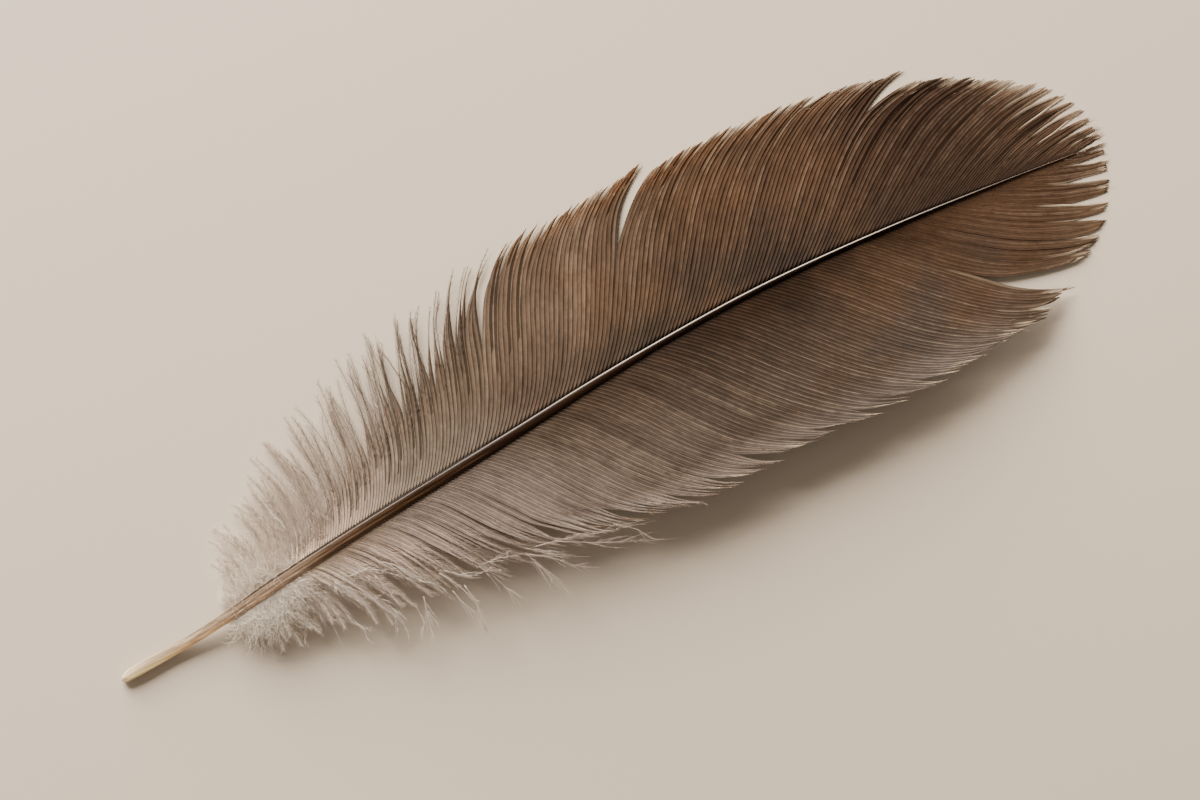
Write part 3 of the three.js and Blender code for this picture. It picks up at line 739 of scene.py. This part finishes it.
def barb_shade_group():
    """Light and dark of a single barb: a pale raised line, partly a painted highlight, flanks painted
    dark with the shade under the neighbours, painted shade at the roots beside the shaft, a band with a
    painted highlight where the vane bends, fine lengthwise hairs, and differences from barb to barb and
    lock to lock. Pale marks pale strands on the ridges, partly paler barbs and partly painted highlight."""
    group = bpy.data.node_groups.new("barb_shade", "ShaderNodeTree")
    for name in ("Pale", "Light", "Height"):
        group.interface.new_socket(name, in_out="OUTPUT", socket_type="NodeSocketFloat")
    outlet = group.nodes.new("NodeGroupOutput")
    across, along, strand, root, tone = (
        attribute(group, name) for name in ("across", "along", "strand", "root", "tone")
    )
    stops = [(place, (light,) * 3) for place, light in BARB_PAINTED_LIGHT]
    flank = color_ramp(group, map_range(group, across, -1, 1), stops)
    flank = product(group, flank, BARB_PAINTED_LIGHT_GAIN)
    # Near the tip the barbs lie flatter, and the lines between them are fainter.
    calm = product(group, math_node(group, "SUBTRACT", 0.95, flank),
                   map_range(group, root, 0.74, 0.84, 0.0, 0.6))
    flank = math_node(group, "ADD", flank, calm)
    hairs = noise(
        group, stretched_place(group, (across, 2.2), (along, 30.0), (strand, 97.0)), 1.0, 3.0, 0.65)
    patches = noise(group, stretched_place(group, (root, 42.0), (along, 2.6)), 1.0, 2.0, 0.5)
    beads = noise(group, stretched_place(group, (along, 9.0), (strand, 61.0)), 1.0, 4.0, 0.65)
    barbules = math_node(group, "ADD", product(group, math_node(group, "ABSOLUTE", across), 7.0),
                         product(group, along, 1500.0))
    pale = product(group, map_range(group, strand, 0.55, 0.95),
                   map_range(group, beads, 0.38, 0.6), map_range(group, flank, 0.7, 1.4))
    from_lit_crease = math_node(group, "ABSOLUTE", math_node(group, "SUBTRACT", root, LIT_CREASE))
    light = product(
        group, flank,
        map_range(group, hairs, 0.3, 0.7, 0.8, 1.2),
        map_range(group, beads, 0.3, 0.7, 0.78, 1.22),
        map_range(group, math_node(group, "SINE", barbules), -1, 1, 0.93, 1.07),
        map_range(group, strand, 0, 1, 0.93, 1.07),
        map_range(group, tone, -1, 1, 0.96, 1.04),
        map_range(group, patches, 0.3, 0.7, 0.9, 1.1),
        # Painted shade: the barbs' roots next to the shaft go darker, where the shaft shades them.
        map_range(group, along, 0.014, 0.036, 0.4, 1),
        # Painted highlight on the band where the vane bends.
        map_range(group, from_lit_crease, 0.012, 0.028, LIT_CREASE_LIGHT, 1),
    )
    for name, value in (("Pale", pale), ("Light", light), ("Height", hairs)):
        group.links.new(value, outlet.inputs[name])
    return group


barb_shade = barb_shade_group()


def vane_material(name, near_stops, far_stops, edge_stops, rust_stops, edge_from, pale_to):
    """Barbs of one vane. Colours run along the feather, once for the barbs' roots, darker partly with
    painted shade near the shaft, once for their outer half and once for their tips, with rusty patches
    over them. The last values are the part of a barb where its tip's colour sets in, and how pale the
    palest ridge strands go, partly paler barbs and partly painted highlight."""
    material, tree, surface = new_material(name)
    share, along, strand = place_share(tree), attribute(tree, "along"), attribute(tree, "strand")
    blotches = noise(tree, object_place(tree), 70.0, 3.0, 0.55)
    share = math_node(tree, "ADD", share, map_range(tree, blotches, 0.25, 0.75, -0.04, 0.04))
    near, far, edge, rust = (
        color_ramp(tree, share, stops) for stops in (near_stops, far_stops, edge_stops, rust_stops)
    )
    color = mix_color(tree, map_range(tree, along, 0.1, 0.5), near, far)
    rusty = product(tree, rust, map_range(tree, blotches, 0.42, 0.62))
    color = mix_color(tree, rusty, color, RUST)
    color = mix_color(tree, map_range(tree, along, edge_from, 1.0), color, edge)
    shade = add_node(tree, "ShaderNodeGroup", {"node_tree": barb_shade})
    color = mix_color(tree, 1.0, color, shade.outputs["Light"], "MULTIPLY")
    # Pale strands on the ridge tops: partly paler barbs, partly a painted highlight.
    pale_barb_and_highlight = product(tree, shade.outputs["Pale"],
                        map_range(tree, along, 0.1, 0.8, 0.1 * pale_to, pale_to))
    color = mix_color(tree, pale_barb_and_highlight, color, RIM)
    # Painted highlight: barbs beside a split are painted pale cream where their frayed edges catch the
    # light.
    rim = product(
        tree, map_range(tree, attribute(tree, "frayed_and_lit"), 0.25, 0.9),
        map_range(tree, strand, 0.0, 0.5, 0.3, 0.85),
        map_range(tree, attribute(tree, "root"), 0.74, 0.84, 0.12, 1),
    )
    tips = product(tree, map_range(tree, along, 0.9, 0.985),
                   map_range(tree, strand, 0.45, 0.8, 0.0, 0.75))
    color = mix_color(tree, math_node(tree, "MAXIMUM", rim, tips), color, RIM)
    values = {"Roughness": 0.6, "Specular IOR Level": 0.04}
    finish_surface(tree, surface, color, values, shade.outputs["Height"], bump=(0.3, 0.04 * MM))
    return material


RUST = (0.085, 0.044, 0.021)
# The pale cream of the barbs' pale tips and fringe hairs, also painted as a highlight on split edges and
# ridge tops.
RIM = (0.50, 0.39, 0.27)
# The ramps for the barbs' roots run darker than those for their outer half: partly the vane's own
# colour, partly painted shade near the shaft.
BROAD_NEAR = [
    (0.14, (0.81, 0.61, 0.44)), (0.24, (0.26, 0.19, 0.14)), (0.34, (0.11, 0.085, 0.062)),
    (0.44, (0.046, 0.029, 0.019)), (0.56, (0.024, 0.016, 0.0099)), (0.7, (0.019, 0.012, 0.0084)),
    (1, (0.026, 0.014, 0.008)),
]
BROAD_FAR = [
    (0.17, (0.7, 0.56, 0.45)), (0.26, (0.18, 0.125, 0.089)), (0.36, (0.08, 0.055, 0.037)),
    (0.5, (0.089, 0.057, 0.037)), (0.62, (0.045, 0.025, 0.014)), (0.74, (0.05, 0.027, 0.015)),
    (0.86, (0.03, 0.0155, 0.0095)), (0.93, (0.035, 0.019, 0.0115)), (1, (0.06, 0.034, 0.02)),
]
BROAD_EDGE = [
    (0.2, (0.49, 0.3, 0.17)), (0.35, (0.155, 0.088, 0.053)), (0.5, (0.16, 0.086, 0.044)),
    (0.66, (0.1, 0.04, 0.015)), (0.8, (0.13, 0.07, 0.038)), (0.9, (0.04, 0.02, 0.011)),
    (0.95, (0.06, 0.033, 0.019)), (1, (0.28, 0.18, 0.115)),
]
BROAD_RUST = [(0.5, (0, 0, 0)), (0.6, (0.35, 0.35, 0.35)), (0.8, (0.3, 0.3, 0.3)), (0.88, (0, 0, 0))]
NARROW_NEAR = [
    (0.14, (0.85, 0.69, 0.46)), (0.24, (0.35, 0.25, 0.18)), (0.34, (0.2, 0.15, 0.12)),
    (0.44, (0.07, 0.047, 0.031)), (0.56, (0.045, 0.027, 0.017)), (0.7, (0.014, 0.0072, 0.0042)),
    (1, (0.13, 0.07, 0.039)),
]
NARROW_FAR = [
    (0.17, (0.74, 0.62, 0.52)), (0.28, (0.46, 0.32, 0.26)), (0.38, (0.21, 0.16, 0.13)),
    (0.5, (0.12, 0.087, 0.065)), (0.62, (0.072, 0.051, 0.037)), (0.76, (0.068, 0.05, 0.038)),
    (0.9, (0.081, 0.045, 0.026)), (1, (0.067, 0.038, 0.023)),
]
NARROW_EDGE = [
    (0.2, (0.68, 0.58, 0.49)), (0.4, (0.62, 0.52, 0.44)), (0.6, (0.27, 0.205, 0.16)),
    (0.7, (0.15, 0.12, 0.098)), (0.8, (0.18, 0.145, 0.12)), (0.9, (0.08, 0.053, 0.036)),
    (1, (0.11, 0.066, 0.038)),
]
NARROW_RUST = [(0.62, (0, 0, 0)), (0.7, (0.3, 0.3, 0.3)), (0.8, (0.4, 0.4, 0.4)), (0.9, (0.2, 0.2, 0.2))]
broad_vane.data.materials.append(
    vane_material("broad_barbs", BROAD_NEAR, BROAD_FAR, BROAD_EDGE, BROAD_RUST, 0.8, 0.15))
narrow_vane.data.materials.append(
    vane_material("narrow_barbs", NARROW_NEAR, NARROW_FAR, NARROW_EDGE, NARROW_RUST, 0.68, 0.38))

# ----------------------------------------------------------------------
# The down. Loose barbs have no hooks: their barbules stand off on both sides as soft hairs of a
# millimetre or two, and fill the gaps with fluff.
# ----------------------------------------------------------------------
HAIR_STEPS = 2
BARBULE_RADIUS = MM * np.array([0.021, 0.018, 0.008])
hair_rod = rod_template(HAIR_STEPS, 3)


def lay_hairs(name, rod, paths, radius, strand, slot, material):
    """Bends thin rods along paths, an array of hairs by rows by 3, with a radius for each row."""
    along = np.gradient(paths, axis=1)
    along /= np.linalg.norm(along, axis=2, keepdims=True)
    aside = np.cross(np.array([0.0, 0.0, 1.0]), along)
    aside /= np.linalg.norm(aside, axis=2, keepdims=True).clip(1e-9)
    above = np.cross(along, aside)
    angle = 2 * math.pi * rod["corner"] / rod["sides"] + math.pi / 2
    row = rod["row"]
    places = paths[:, row]
    places = places + (aside[:, row] * np.cos(angle)[None, :, None]
                       + above[:, row] * np.sin(angle)[None, :, None]) * radius[:, row][:, :, None]
    columns = math.ceil(math.sqrt(len(paths) * 4))
    piece = join_copies(name, rod, places, {"strand": strand}, columns)
    piece.data.materials.append(material)


def points_on(paths, which, row):
    """Points of the chosen paths between their rows, and the number of the row before each."""
    low = np.minimum(row.astype(int), paths.shape[1] - 2)
    part = (row - low)[:, None]
    return paths[which, low] * (1 - part) + paths[which, low + 1] * part, low


def short_hairs(base, heading, out, size, shares, turns, rises):
    """Paths of hairs of two steps, which leave their barb at an angle and bend back along it."""
    paths = [base]
    for share, turn, rise in zip(shares, turns, rises):
        angle = heading + out * share + turn
        step = np.stack([np.cos(angle), np.sin(angle), rise], axis=1)
        paths.append(paths[-1] + step * (size / HAIR_STEPS)[:, None])
    paths = np.stack(paths, axis=1)
    paths[:, :, 2] = np.maximum(paths[:, :, 2], LOWEST)
    return paths


def barbules(field, first, last, spacing, longer, rng):
    """Hair paths that stand off the free parts of the barbs between two roots."""
    length, free_from, loose = field["length"], field["free_from"], field["loose"]
    chosen = (field["roots"] >= first) & (field["roots"] < last) & (free_from[:, 0] < 0.98)
    stations = []
    for number in np.flatnonzero(chosen):
        start = np.clip(free_from[number, 0] - 0.25, 0.03, 0.9)
        apart = spacing * (1 + 0.6 * (1 - loose[number, 0]))
        count = int(length[number, 0] * (1 - start) / apart)
        where = start + (1 - start) * (np.arange(count) + rng.uniform(0, 1, count)) / count
        stations.append(np.stack([np.full(count, number), where], axis=1))
    number, where = np.concatenate(stations).repeat(2, axis=0).T
    number = number.astype(int)
    count = len(number)
    hand = np.tile([1, -1], count // 2)
    base, low = points_on(field["points"], number, where * BARB_STEPS)
    heading = field["heading"][number, low]
    spread = np.sqrt(loose[number, 0])
    out = np.radians(rng.uniform(8 + 17 * spread, 20 + 40 * spread)) * hand
    size = MM * rng.uniform(0.7, 1.7, count) * (1 - 0.6 * where**2)
    size = size * longer * (0.75 + 0.5 * loose[number, 0])
    lift = rng.normal(0, 0.22, count)
    turns = rng.normal(0, 0.15, (HAIR_STEPS, count))
    shares = (1.0, 0.45)
    paths = short_hairs(base, heading, out, size, shares, turns, np.outer(shares, lift))
    radius = BARBULE_RADIUS * rng.uniform(0.7, 1.2, (count, 1))
    return paths, radius, rng.uniform(0, 1, (count, 1))


def down_material(name, stops):
    """Soft matte hairs of one side, with their colour along the feather."""
    material, tree, surface = new_material(name)
    share = place_share(tree)
    strand = map_range(tree, attribute(tree, "strand"), 0, 1, 0.7, 1.3)
    color = mix_color(tree, 1.0, color_ramp(tree, share, stops), strand, "MULTIPLY")
    finish_surface(tree, surface, color, {"Roughness": 0.6, "Specular IOR Level": 0.25})
    return material


brown_down = down_material("brown_down", [
    (0.12, (0.70, 0.60, 0.49)), (0.17, (0.52, 0.42, 0.33)), (0.22, (0.36, 0.275, 0.21)),
    (0.30, (0.20, 0.148, 0.11)), (0.42, (0.085, 0.056, 0.038)),
])
# beige_down and pale_down are paler than brown_down: partly the down's own colour, partly painted light
# where the narrow side's down catches the light.
beige_down = down_material("beige_down", [
    (0.12, (0.78, 0.69, 0.58)), (0.20, (0.58, 0.48, 0.39)), (0.30, (0.40, 0.31, 0.24)),
    (0.42, (0.22, 0.155, 0.115)), (0.80, (0.14, 0.09, 0.06)),
])
pale_down = down_material("pale_down", [
    (0.12, (0.86, 0.78, 0.68)), (0.25, (0.77, 0.68, 0.58)), (0.36, (0.62, 0.53, 0.44)),
    (0.50, (0.42, 0.33, 0.26)),
])
for name, field, first, last, spacing, longer, material, seed in (
    ("broad_down", broad_field, 0, 72 * MM, 0.19 * MM, 1.4, brown_down, 41),
    ("narrow_down", narrow_field, 0, 58 * MM, 0.14 * MM, 1.2, beige_down, 43),
    ("narrow_edge", narrow_field, 58 * MM, 92 * MM, 0.26 * MM, 1.0, beige_down, 47),
):
    hairs = barbules(field, first, last, spacing, longer, np.random.default_rng(seed))
    lay_hairs(name, hair_rod, *hairs, "down", material)

# ----------------------------------------------------------------------
# The wisps. Single loose barbs and thin bundles of them that stray out of the down and out of the
# narrow vane's edge, and taper to a point.
# ----------------------------------------------------------------------
# Each wisp: four points along and across, its number of fibres, and its height at both ends.
# Beside the narrow vane a wisp is one long barb that has twice so many branches.
NARROW_WISPS = [
    (33.0, 0.0, 31.9, -4.2, 30.1, -6.5, 29.9, -8.8, 6, 2.2, 1.8),
    (35.0, -1.3, 34.9, -5.2, 35.1, -7.9, 35.0, -11.3, 5, 2.5, 2.0),
    (36.8, -4.5, 38.2, -7.9, 39.5, -9.6, 41.0, -10.9, 6, 3.0, 2.5),
    (38.7, -8.1, 39.4, -9.8, 39.2, -11.3, 39.8, -12.8, 3, 2.8, 2.4),
    (38.7, -0.7, 41.4, -4.8, 44.6, -6.9, 46.5, -9.4, 4, 4.4, 4.3),
    (41.2, -1.0, 45.1, -1.6, 48.8, -4.8, 52.1, -7.7, 3, 4.8, 5.3),
    (44.2, -6.7, 44.8, -9.6, 44.6, -11.9, 43.5, -13.5, 6, 4.0, 3.3),
    (45.0, -8.2, 45.6, -10.6, 45.6, -13.2, 45.1, -15.6, 5, 4.2, 3.4),
    (47.3, -1.4, 49.5, -3.5, 51.8, -7.3, 54.7, -7.7, 3, 5.3, 5.6),
    (48.8, -10.1, 48.8, -13.2, 47.5, -14.7, 47.4, -16.5, 5, 4.5, 3.6),
    (50.3, -11.9, 50.4, -13.2, 50.7, -14.5, 50.4, -15.3, 3, 4.4, 4.0),
    (50.7, -9.4, 49.7, -13.1, 49.0, -16.0, 48.5, -18.1, 7, 4.8, 3.6),
    (50.7, -5.2, 52.3, -7.3, 53.9, -9.4, 54.7, -11.4, 4, 5.2, 4.8),
    (54.7, -7.1, 56.4, -10.0, 57.6, -12.8, 58.3, -14.7, 5, 5.6, 5.0),
    (55.4, -10.7, 56.2, -14.3, 57.5, -18.1, 58.0, -21.3, 8, 5.3, 4.2),
    (55.7, -7.1, 58.7, -9.6, 62.5, -10.4, 65.3, -12.1, 3, 6.0, 6.1),
    (57.5, -10.7, 57.9, -14.6, 57.5, -17.6, 57.5, -20.2, 6, 5.5, 4.4),
    (61.0, -9.0, 63.0, -13.0, 64.0, -17.0, 64.3, -20.5, 5, 5.8, 4.7),
    (61.7, -9.0, 64.2, -9.2, 66.9, -10.0, 69.4, -10.5, 3, 6.4, 6.5),
    (68.8, -10.5, 70.3, -14.9, 72.0, -18.9, 73.9, -23.6, 7, 6.4, 5.0),
    (69.2, -9.8, 71.8, -11.9, 74.1, -13.6, 77.8, -15.7, 4, 6.5, 6.1),
    (69.2, -10.9, 72.6, -13.4, 75.1, -16.0, 78.3, -17.9, 4, 6.4, 5.8),
    (69.7, -13.0, 70.5, -15.0, 70.4, -16.5, 69.6, -17.4, 3, 6.2, 5.6),
    (70.5, -10.2, 75.8, -11.3, 81.3, -13.0, 90.0, -15.2, 3, 6.6, 6.6),
    (73.9, -10.9, 80.6, -14.5, 86.6, -17.2, 92.0, -19.5, 3, 6.6, 6.4),
    (83.6, -12.6, 86.6, -15.1, 88.1, -17.5, 89.4, -18.4, 2, 6.6, 6.4),
    (90.0, -12.0, 95.0, -14.5, 98.0, -16.0, 98.8, -17.0, 1, 6.6, 6.4),
    (35.6, 10.0, 35.2, 12.0, 34.5, 14.0, 34.0, 17.0, 2, 4.3, 3.8),
]
BROAD_WISPS = [
    (58, 16, 60.3, 23, 61.5, 28, 62.8, 32.7, 6, 1.6, 1),
    (64, 14, 63.3, 22, 62.6, 28, 62, 31, 2, 1.8, 1.2),
    (62, 15, 64.5, 24, 65.5, 29, 66.2, 31, 4, 1.7, 1),
    (66, 20, 67.5, 27, 68.3, 31, 69.7, 33.6, 5, 1.5, 0.9),
    (61, 14, 65, 17, 69, 20, 72, 25, 3, 1.8, 1.4),
    (44, 16, 43.3, 19, 42.8, 22, 42.5, 25, 2, 1.4, 1.3),
    (42.5, 15, 41.5, 18, 40.3, 21, 39.5, 24, 2, 1.4, 1.3),
    (38.5, 13, 37.6, 16, 36.8, 19, 36.2, 22, 2, 1.4, 1.2),
    (50.5, 17, 50.2, 20, 50, 23, 50.6, 26.5, 2, 1.5, 1.3),
    (56, 18, 56.3, 22, 56.2, 26, 55.6, 29.5, 3, 1.5, 1.2),
    (58.5, 18, 59.1, 23, 59, 27, 57.8, 30.5, 2, 1.5, 1.2),
]
WISP_STEPS = 14
BUNDLE_RADIUS, STEM_RADIUS, BRANCH_RADIUS = 0.058 * MM, 0.06 * MM, 0.032 * MM
WISP_HAIR_RADIUS = MM * np.array([0.016, 0.013, 0.006])
FLUFF_RADIUS = 0.025 * MM
wisp_rod = rod_template(WISP_STEPS, 4)


def middle_line(wisp, t):
    """The middle of a wisp, through its four points."""
    marks = np.column_stack([np.linspace(0, 1, 4), np.reshape(wisp[:8], (4, 2))])
    rise = wisp[9] + (wisp[10] - wisp[9]) * t
    return np.stack([smooth(marks, 1, t), smooth(marks, 2, t), rise], axis=1)


def bundle_paths(wisps, rng):
    """Fibres of wisps whose barbs draw together to one point."""
    t = np.linspace(0, 1, WISP_STEPS + 1)
    fibres = []
    for wisp in wisps:
        for _ in range(wisp[8]):
            path = middle_line(wisp, t)
            path[:, :2] += rng.normal(0, 0.5, 2) * (1 - t[:, None]) ** 1.3
            path[:, :2] += rng.normal(0, 0.12, 2) * np.sin(math.pi * t[:, None] * 1.5)
            path[:, 2] += rng.normal(0, 0.15)
            reached = t * rng.uniform(0.82, 1.0)
            path = [np.interp(reached, t, path[:, axis]) for axis in range(3)]
            fibres.append(np.stack(path, axis=1))
    radius = BUNDLE_RADIUS * (1 - 0.75 * t)[None, :] * np.ones((len(fibres), 1))
    return np.array(fibres) * MM + ORIGIN, radius, rng.uniform(0.3, 1, (len(fibres), 1))


def twig_paths(wisps, rng):
    """Fibres of wisps that branch: one long barb, and finer ones that leave it in turn."""
    t = np.linspace(0, 1, WISP_STEPS + 1)
    fibres, thick = [], []
    for wisp in wisps:
        stem = middle_line(wisp, t)
        fibres.append(stem)
        thick.append(STEM_RADIUS * (1 - 0.75 * t))
        length = np.linalg.norm(np.diff(stem, axis=0), axis=1).sum()
        for _ in range(2 * wisp[8]):
            leave = rng.integers(1, WISP_STEPS - 3)
            ahead = stem[leave + 1] - stem[leave]
            heading = math.atan2(ahead[1], ahead[0])
            out = math.radians(rng.uniform(10, 28)) * rng.choice([-1, 1])
            angle = heading + out * (1 - 0.7 * t) + rng.normal(0, 0.3) * t**2
            left = 1 - leave / WISP_STEPS
            step = length * (0.08 + 0.5 * left) * rng.uniform(0.4, 0.9) / WISP_STEPS
            drop = np.full_like(t, rng.normal(0, 0.12))
            steps = np.stack([np.cos(angle), np.sin(angle), drop], axis=1) * step
            fibres.append(stem[leave] + np.cumsum(steps, axis=0) - steps[0])
            thick.append(BRANCH_RADIUS * (1 - 0.8 * t))
    return np.array(fibres) * MM + ORIGIN, np.array(thick), rng.uniform(0.3, 1, (len(fibres), 1))


def side_hairs(paths, spacing, rng):
    """Short hairs on both sides of fibres, over their outer part."""
    lengths = np.linalg.norm(np.diff(paths, axis=1), axis=2).sum(axis=1)
    count = int(lengths.sum() * 0.75 / spacing)
    which = rng.choice(len(paths), count, p=lengths / lengths.sum())
    row = rng.uniform(0.1, 0.92, count) * (WISP_STEPS - 1)
    base, low = points_on(paths, which, row)
    step = paths[which, low + 1] - paths[which, low]
    heading = np.arctan2(step[:, 1], step[:, 0])
    out = np.radians(rng.uniform(15, 45, count)) * rng.choice([-1, 1], count)
    size = MM * rng.uniform(0.5, 1.7, count) * (1 - 0.6 * row / WISP_STEPS)
    size = size * np.sqrt(lengths[which] / lengths.max())
    rises = rng.normal(0, 0.15, (HAIR_STEPS, count))
    lines = short_hairs(base, heading, out, size, (1.0, 0.4), (0, 0), rises)
    return lines, WISP_HAIR_RADIUS * np.ones((count, 1)), rng.uniform(0.3, 1, (count, 1))


for name, make_paths, wisps, material, seed in (
    ("narrow_wisps", twig_paths, NARROW_WISPS, pale_down, 53),
    ("broad_wisps", bundle_paths, BROAD_WISPS, brown_down, 59),
):
    wisp_rng = np.random.default_rng(seed)
    lines = make_paths(wisps, wisp_rng)
    hairs = side_hairs(lines[0], 0.26 * MM, wisp_rng)
    lay_hairs(name, wisp_rod, *lines, "down", material)
    lay_hairs(name + "_hairs", hair_rod, *hairs, "down", material)


def fluff(first, last, side, count, reach, rng):
    """Short curly hairs at the very start of a vane."""
    t = np.linspace(0, 1, WISP_STEPS + 1)
    roots = rng.uniform(first, last, count)
    share = (roots - first) / (last - first)
    length = reach * rng.uniform(0.5, 1.0, count) * (0.6 + 0.6 * np.sin(math.pi * share**0.8))
    start = np.radians(rng.normal(75, 28, count)) * side
    curl = rng.normal(0, 1.6, (count, 1)) + rng.uniform(-2.2, 2.2, (count, 1)) * t[None, :]
    heading = start[:, None] + curl * t[None, :] ** 1.2
    waves = rng.uniform(1, 2.5, (count, 1)) * t
    heading = heading + 0.35 * np.sin(2 * math.pi * (waves + rng.uniform(0, 1, (count, 1))))
    step = (length / WISP_STEPS)[:, None]
    ahead, aside = step * np.cos(heading), step * np.sin(heading)
    edge = smooth(SHAFT, ACROSS, roots) + side * 0.35 * smooth(SHAFT, WIDTH, roots)
    x = roots[:, None] + np.cumsum(ahead, axis=1) - ahead
    y = edge[:, None] + np.cumsum(aside, axis=1) - aside
    level = smooth(SHAFT, UNDER, roots) + BARB_LEVEL * smooth(SHAFT, DEPTH, roots)
    z = level[:, None] + MM * rng.normal(0.2, 0.9, (count, 1)) * t[None, :]
    z = np.maximum(z, LOWEST * 2)
    paths = np.stack([x, y, z], axis=2) + ORIGIN
    radius = FLUFF_RADIUS * (1 - 0.6 * t)[None, :] * rng.uniform(0.7, 1.2, (count, 1))
    return paths, radius, rng.uniform(0.4, 1, (count, 1))


for name, first, side, count, reach, seed in (
    ("narrow_fluff", 21 * MM, -1, 620, 8 * MM, 71),
    ("broad_fluff", 22 * MM, 1, 110, 7 * MM, 73),
):
    hairs = fluff(first, 34 * MM, side, count, reach, np.random.default_rng(seed))
    lay_hairs(name, wisp_rod, *hairs, "down", pale_down)

# ----------------------------------------------------------------------
# The fringe. At the free edge of the closed vanes the ends of the barbs fray to fine hairs, some
# as brown as the vane and some worn pale.
# ----------------------------------------------------------------------
FRINGE_FROM, SPARSE_FROM = 60 * MM, 143 * MM
HAIRS_EACH = 6
SPARSE_SHARE = 0.3
FRINGE_RADIUS = MM * np.array([0.03, 0.022, 0.008])


def fringe(field, rng):
    """Short hairs that carry on from the ends of the barbs."""
    roots = field["roots"]
    chosen = np.flatnonzero(roots > FRINGE_FROM).repeat(HAIRS_EACH)
    kept = rng.uniform(0, 1, len(chosen)) < SPARSE_SHARE
    chosen = chosen[(roots[chosen] < SPARSE_FROM) | kept]
    count = len(chosen)
    base, low = points_on(
        field["points"], chosen, rng.uniform(0.84, 0.985, count) * BARB_STEPS)
    heading = field["heading"][chosen, low]
    out = np.radians(rng.normal(0, 9, count))
    size = MM * rng.uniform(0.6, 1.7, count)
    rises = rng.normal(0, 0.05, (HAIR_STEPS, count))
    paths = short_hairs(base, heading, out, size, (1.0, 0.5), (0, 0), rises)
    radius = FRINGE_RADIUS * rng.uniform(0.7, 1.2, (count, 1))
    return paths, radius, rng.uniform(0, 1, (count, 1))


def fringe_material():
    """The colour of the barbs' ends, some hairs brown and some worn pale."""
    material, tree, surface = new_material("fringe")
    brown = color_ramp(tree, place_share(tree), BROAD_EDGE)
    pale = map_range(tree, attribute(tree, "strand"), 0.45, 0.85, 0.0, 0.8)
    values = {"Roughness": 0.55, "Specular IOR Level": 0.15}
    finish_surface(tree, surface, mix_color(tree, pale, brown, RIM), values)
    return material


frayed = fringe_material()
for name, field, seed in (("broad_fringe", broad_field, 61), ("narrow_fringe", narrow_field, 67)):
    hairs = fringe(field, np.random.default_rng(seed))
    lay_hairs(name, hair_rod, *hairs, "vane", frayed)

# ----------------------------------------------------------------------
# The floor, the light and the camera. Low light falls across the feather from the broad vane's
# side, and the camera looks straight down on it.
# ----------------------------------------------------------------------
bpy.ops.object.select_all(action="DESELECT")
bpy.ops.mesh.primitive_plane_add(size=4, location=(0, 0, 0))
floor = bpy.context.object
floor.name = "floor"
paper, _, surface = new_material("floor")
surface.inputs["Base Color"].default_value = (0.63, 0.52, 0.405, 1)
surface.inputs["Roughness"].default_value = 0.9
floor.data.materials.append(paper)

# The view: what the picture's width takes in, the feather's slope in it, and its middle.
VIEW_WIDTH = 196.4 * MM
VIEW_SLOPE = math.radians(26.635)
VIEW_CENTRE = ORIGIN + np.array([90.7, 6.33, 2.0]) * MM
LENS = 100
SENSOR = 36
CAMERA_HEIGHT = VIEW_WIDTH * LENS / SENSOR

KEY_PLACE = (0.03, 0.89, 0.30)
bpy.ops.object.light_add(type="AREA", location=KEY_PLACE)
key = bpy.context.object
key.name = "key_light"
key.data.size = 0.8
key.data.energy = 61
key.data.color = (1.0, 0.95, 0.89)
key.rotation_euler = (-math.atan2(KEY_PLACE[1], KEY_PLACE[2]), 0, 0)
world = bpy.data.worlds.new("studio")
world.use_nodes = True
world.node_tree.nodes["Background"].inputs["Color"].default_value = (1.0, 0.91, 0.80, 1)
world.node_tree.nodes["Background"].inputs["Strength"].default_value = 0.27
bpy.context.scene.world = world

bpy.ops.object.camera_add(
    location=(VIEW_CENTRE[0], VIEW_CENTRE[1], VIEW_CENTRE[2] + CAMERA_HEIGHT),
    rotation=(0, 0, -VIEW_SLOPE),
)
camera = bpy.context.object
camera.data.lens = LENS
camera.data.sensor_width = SENSOR
camera.data.clip_start = 0.01
bpy.context.scene.camera = camera
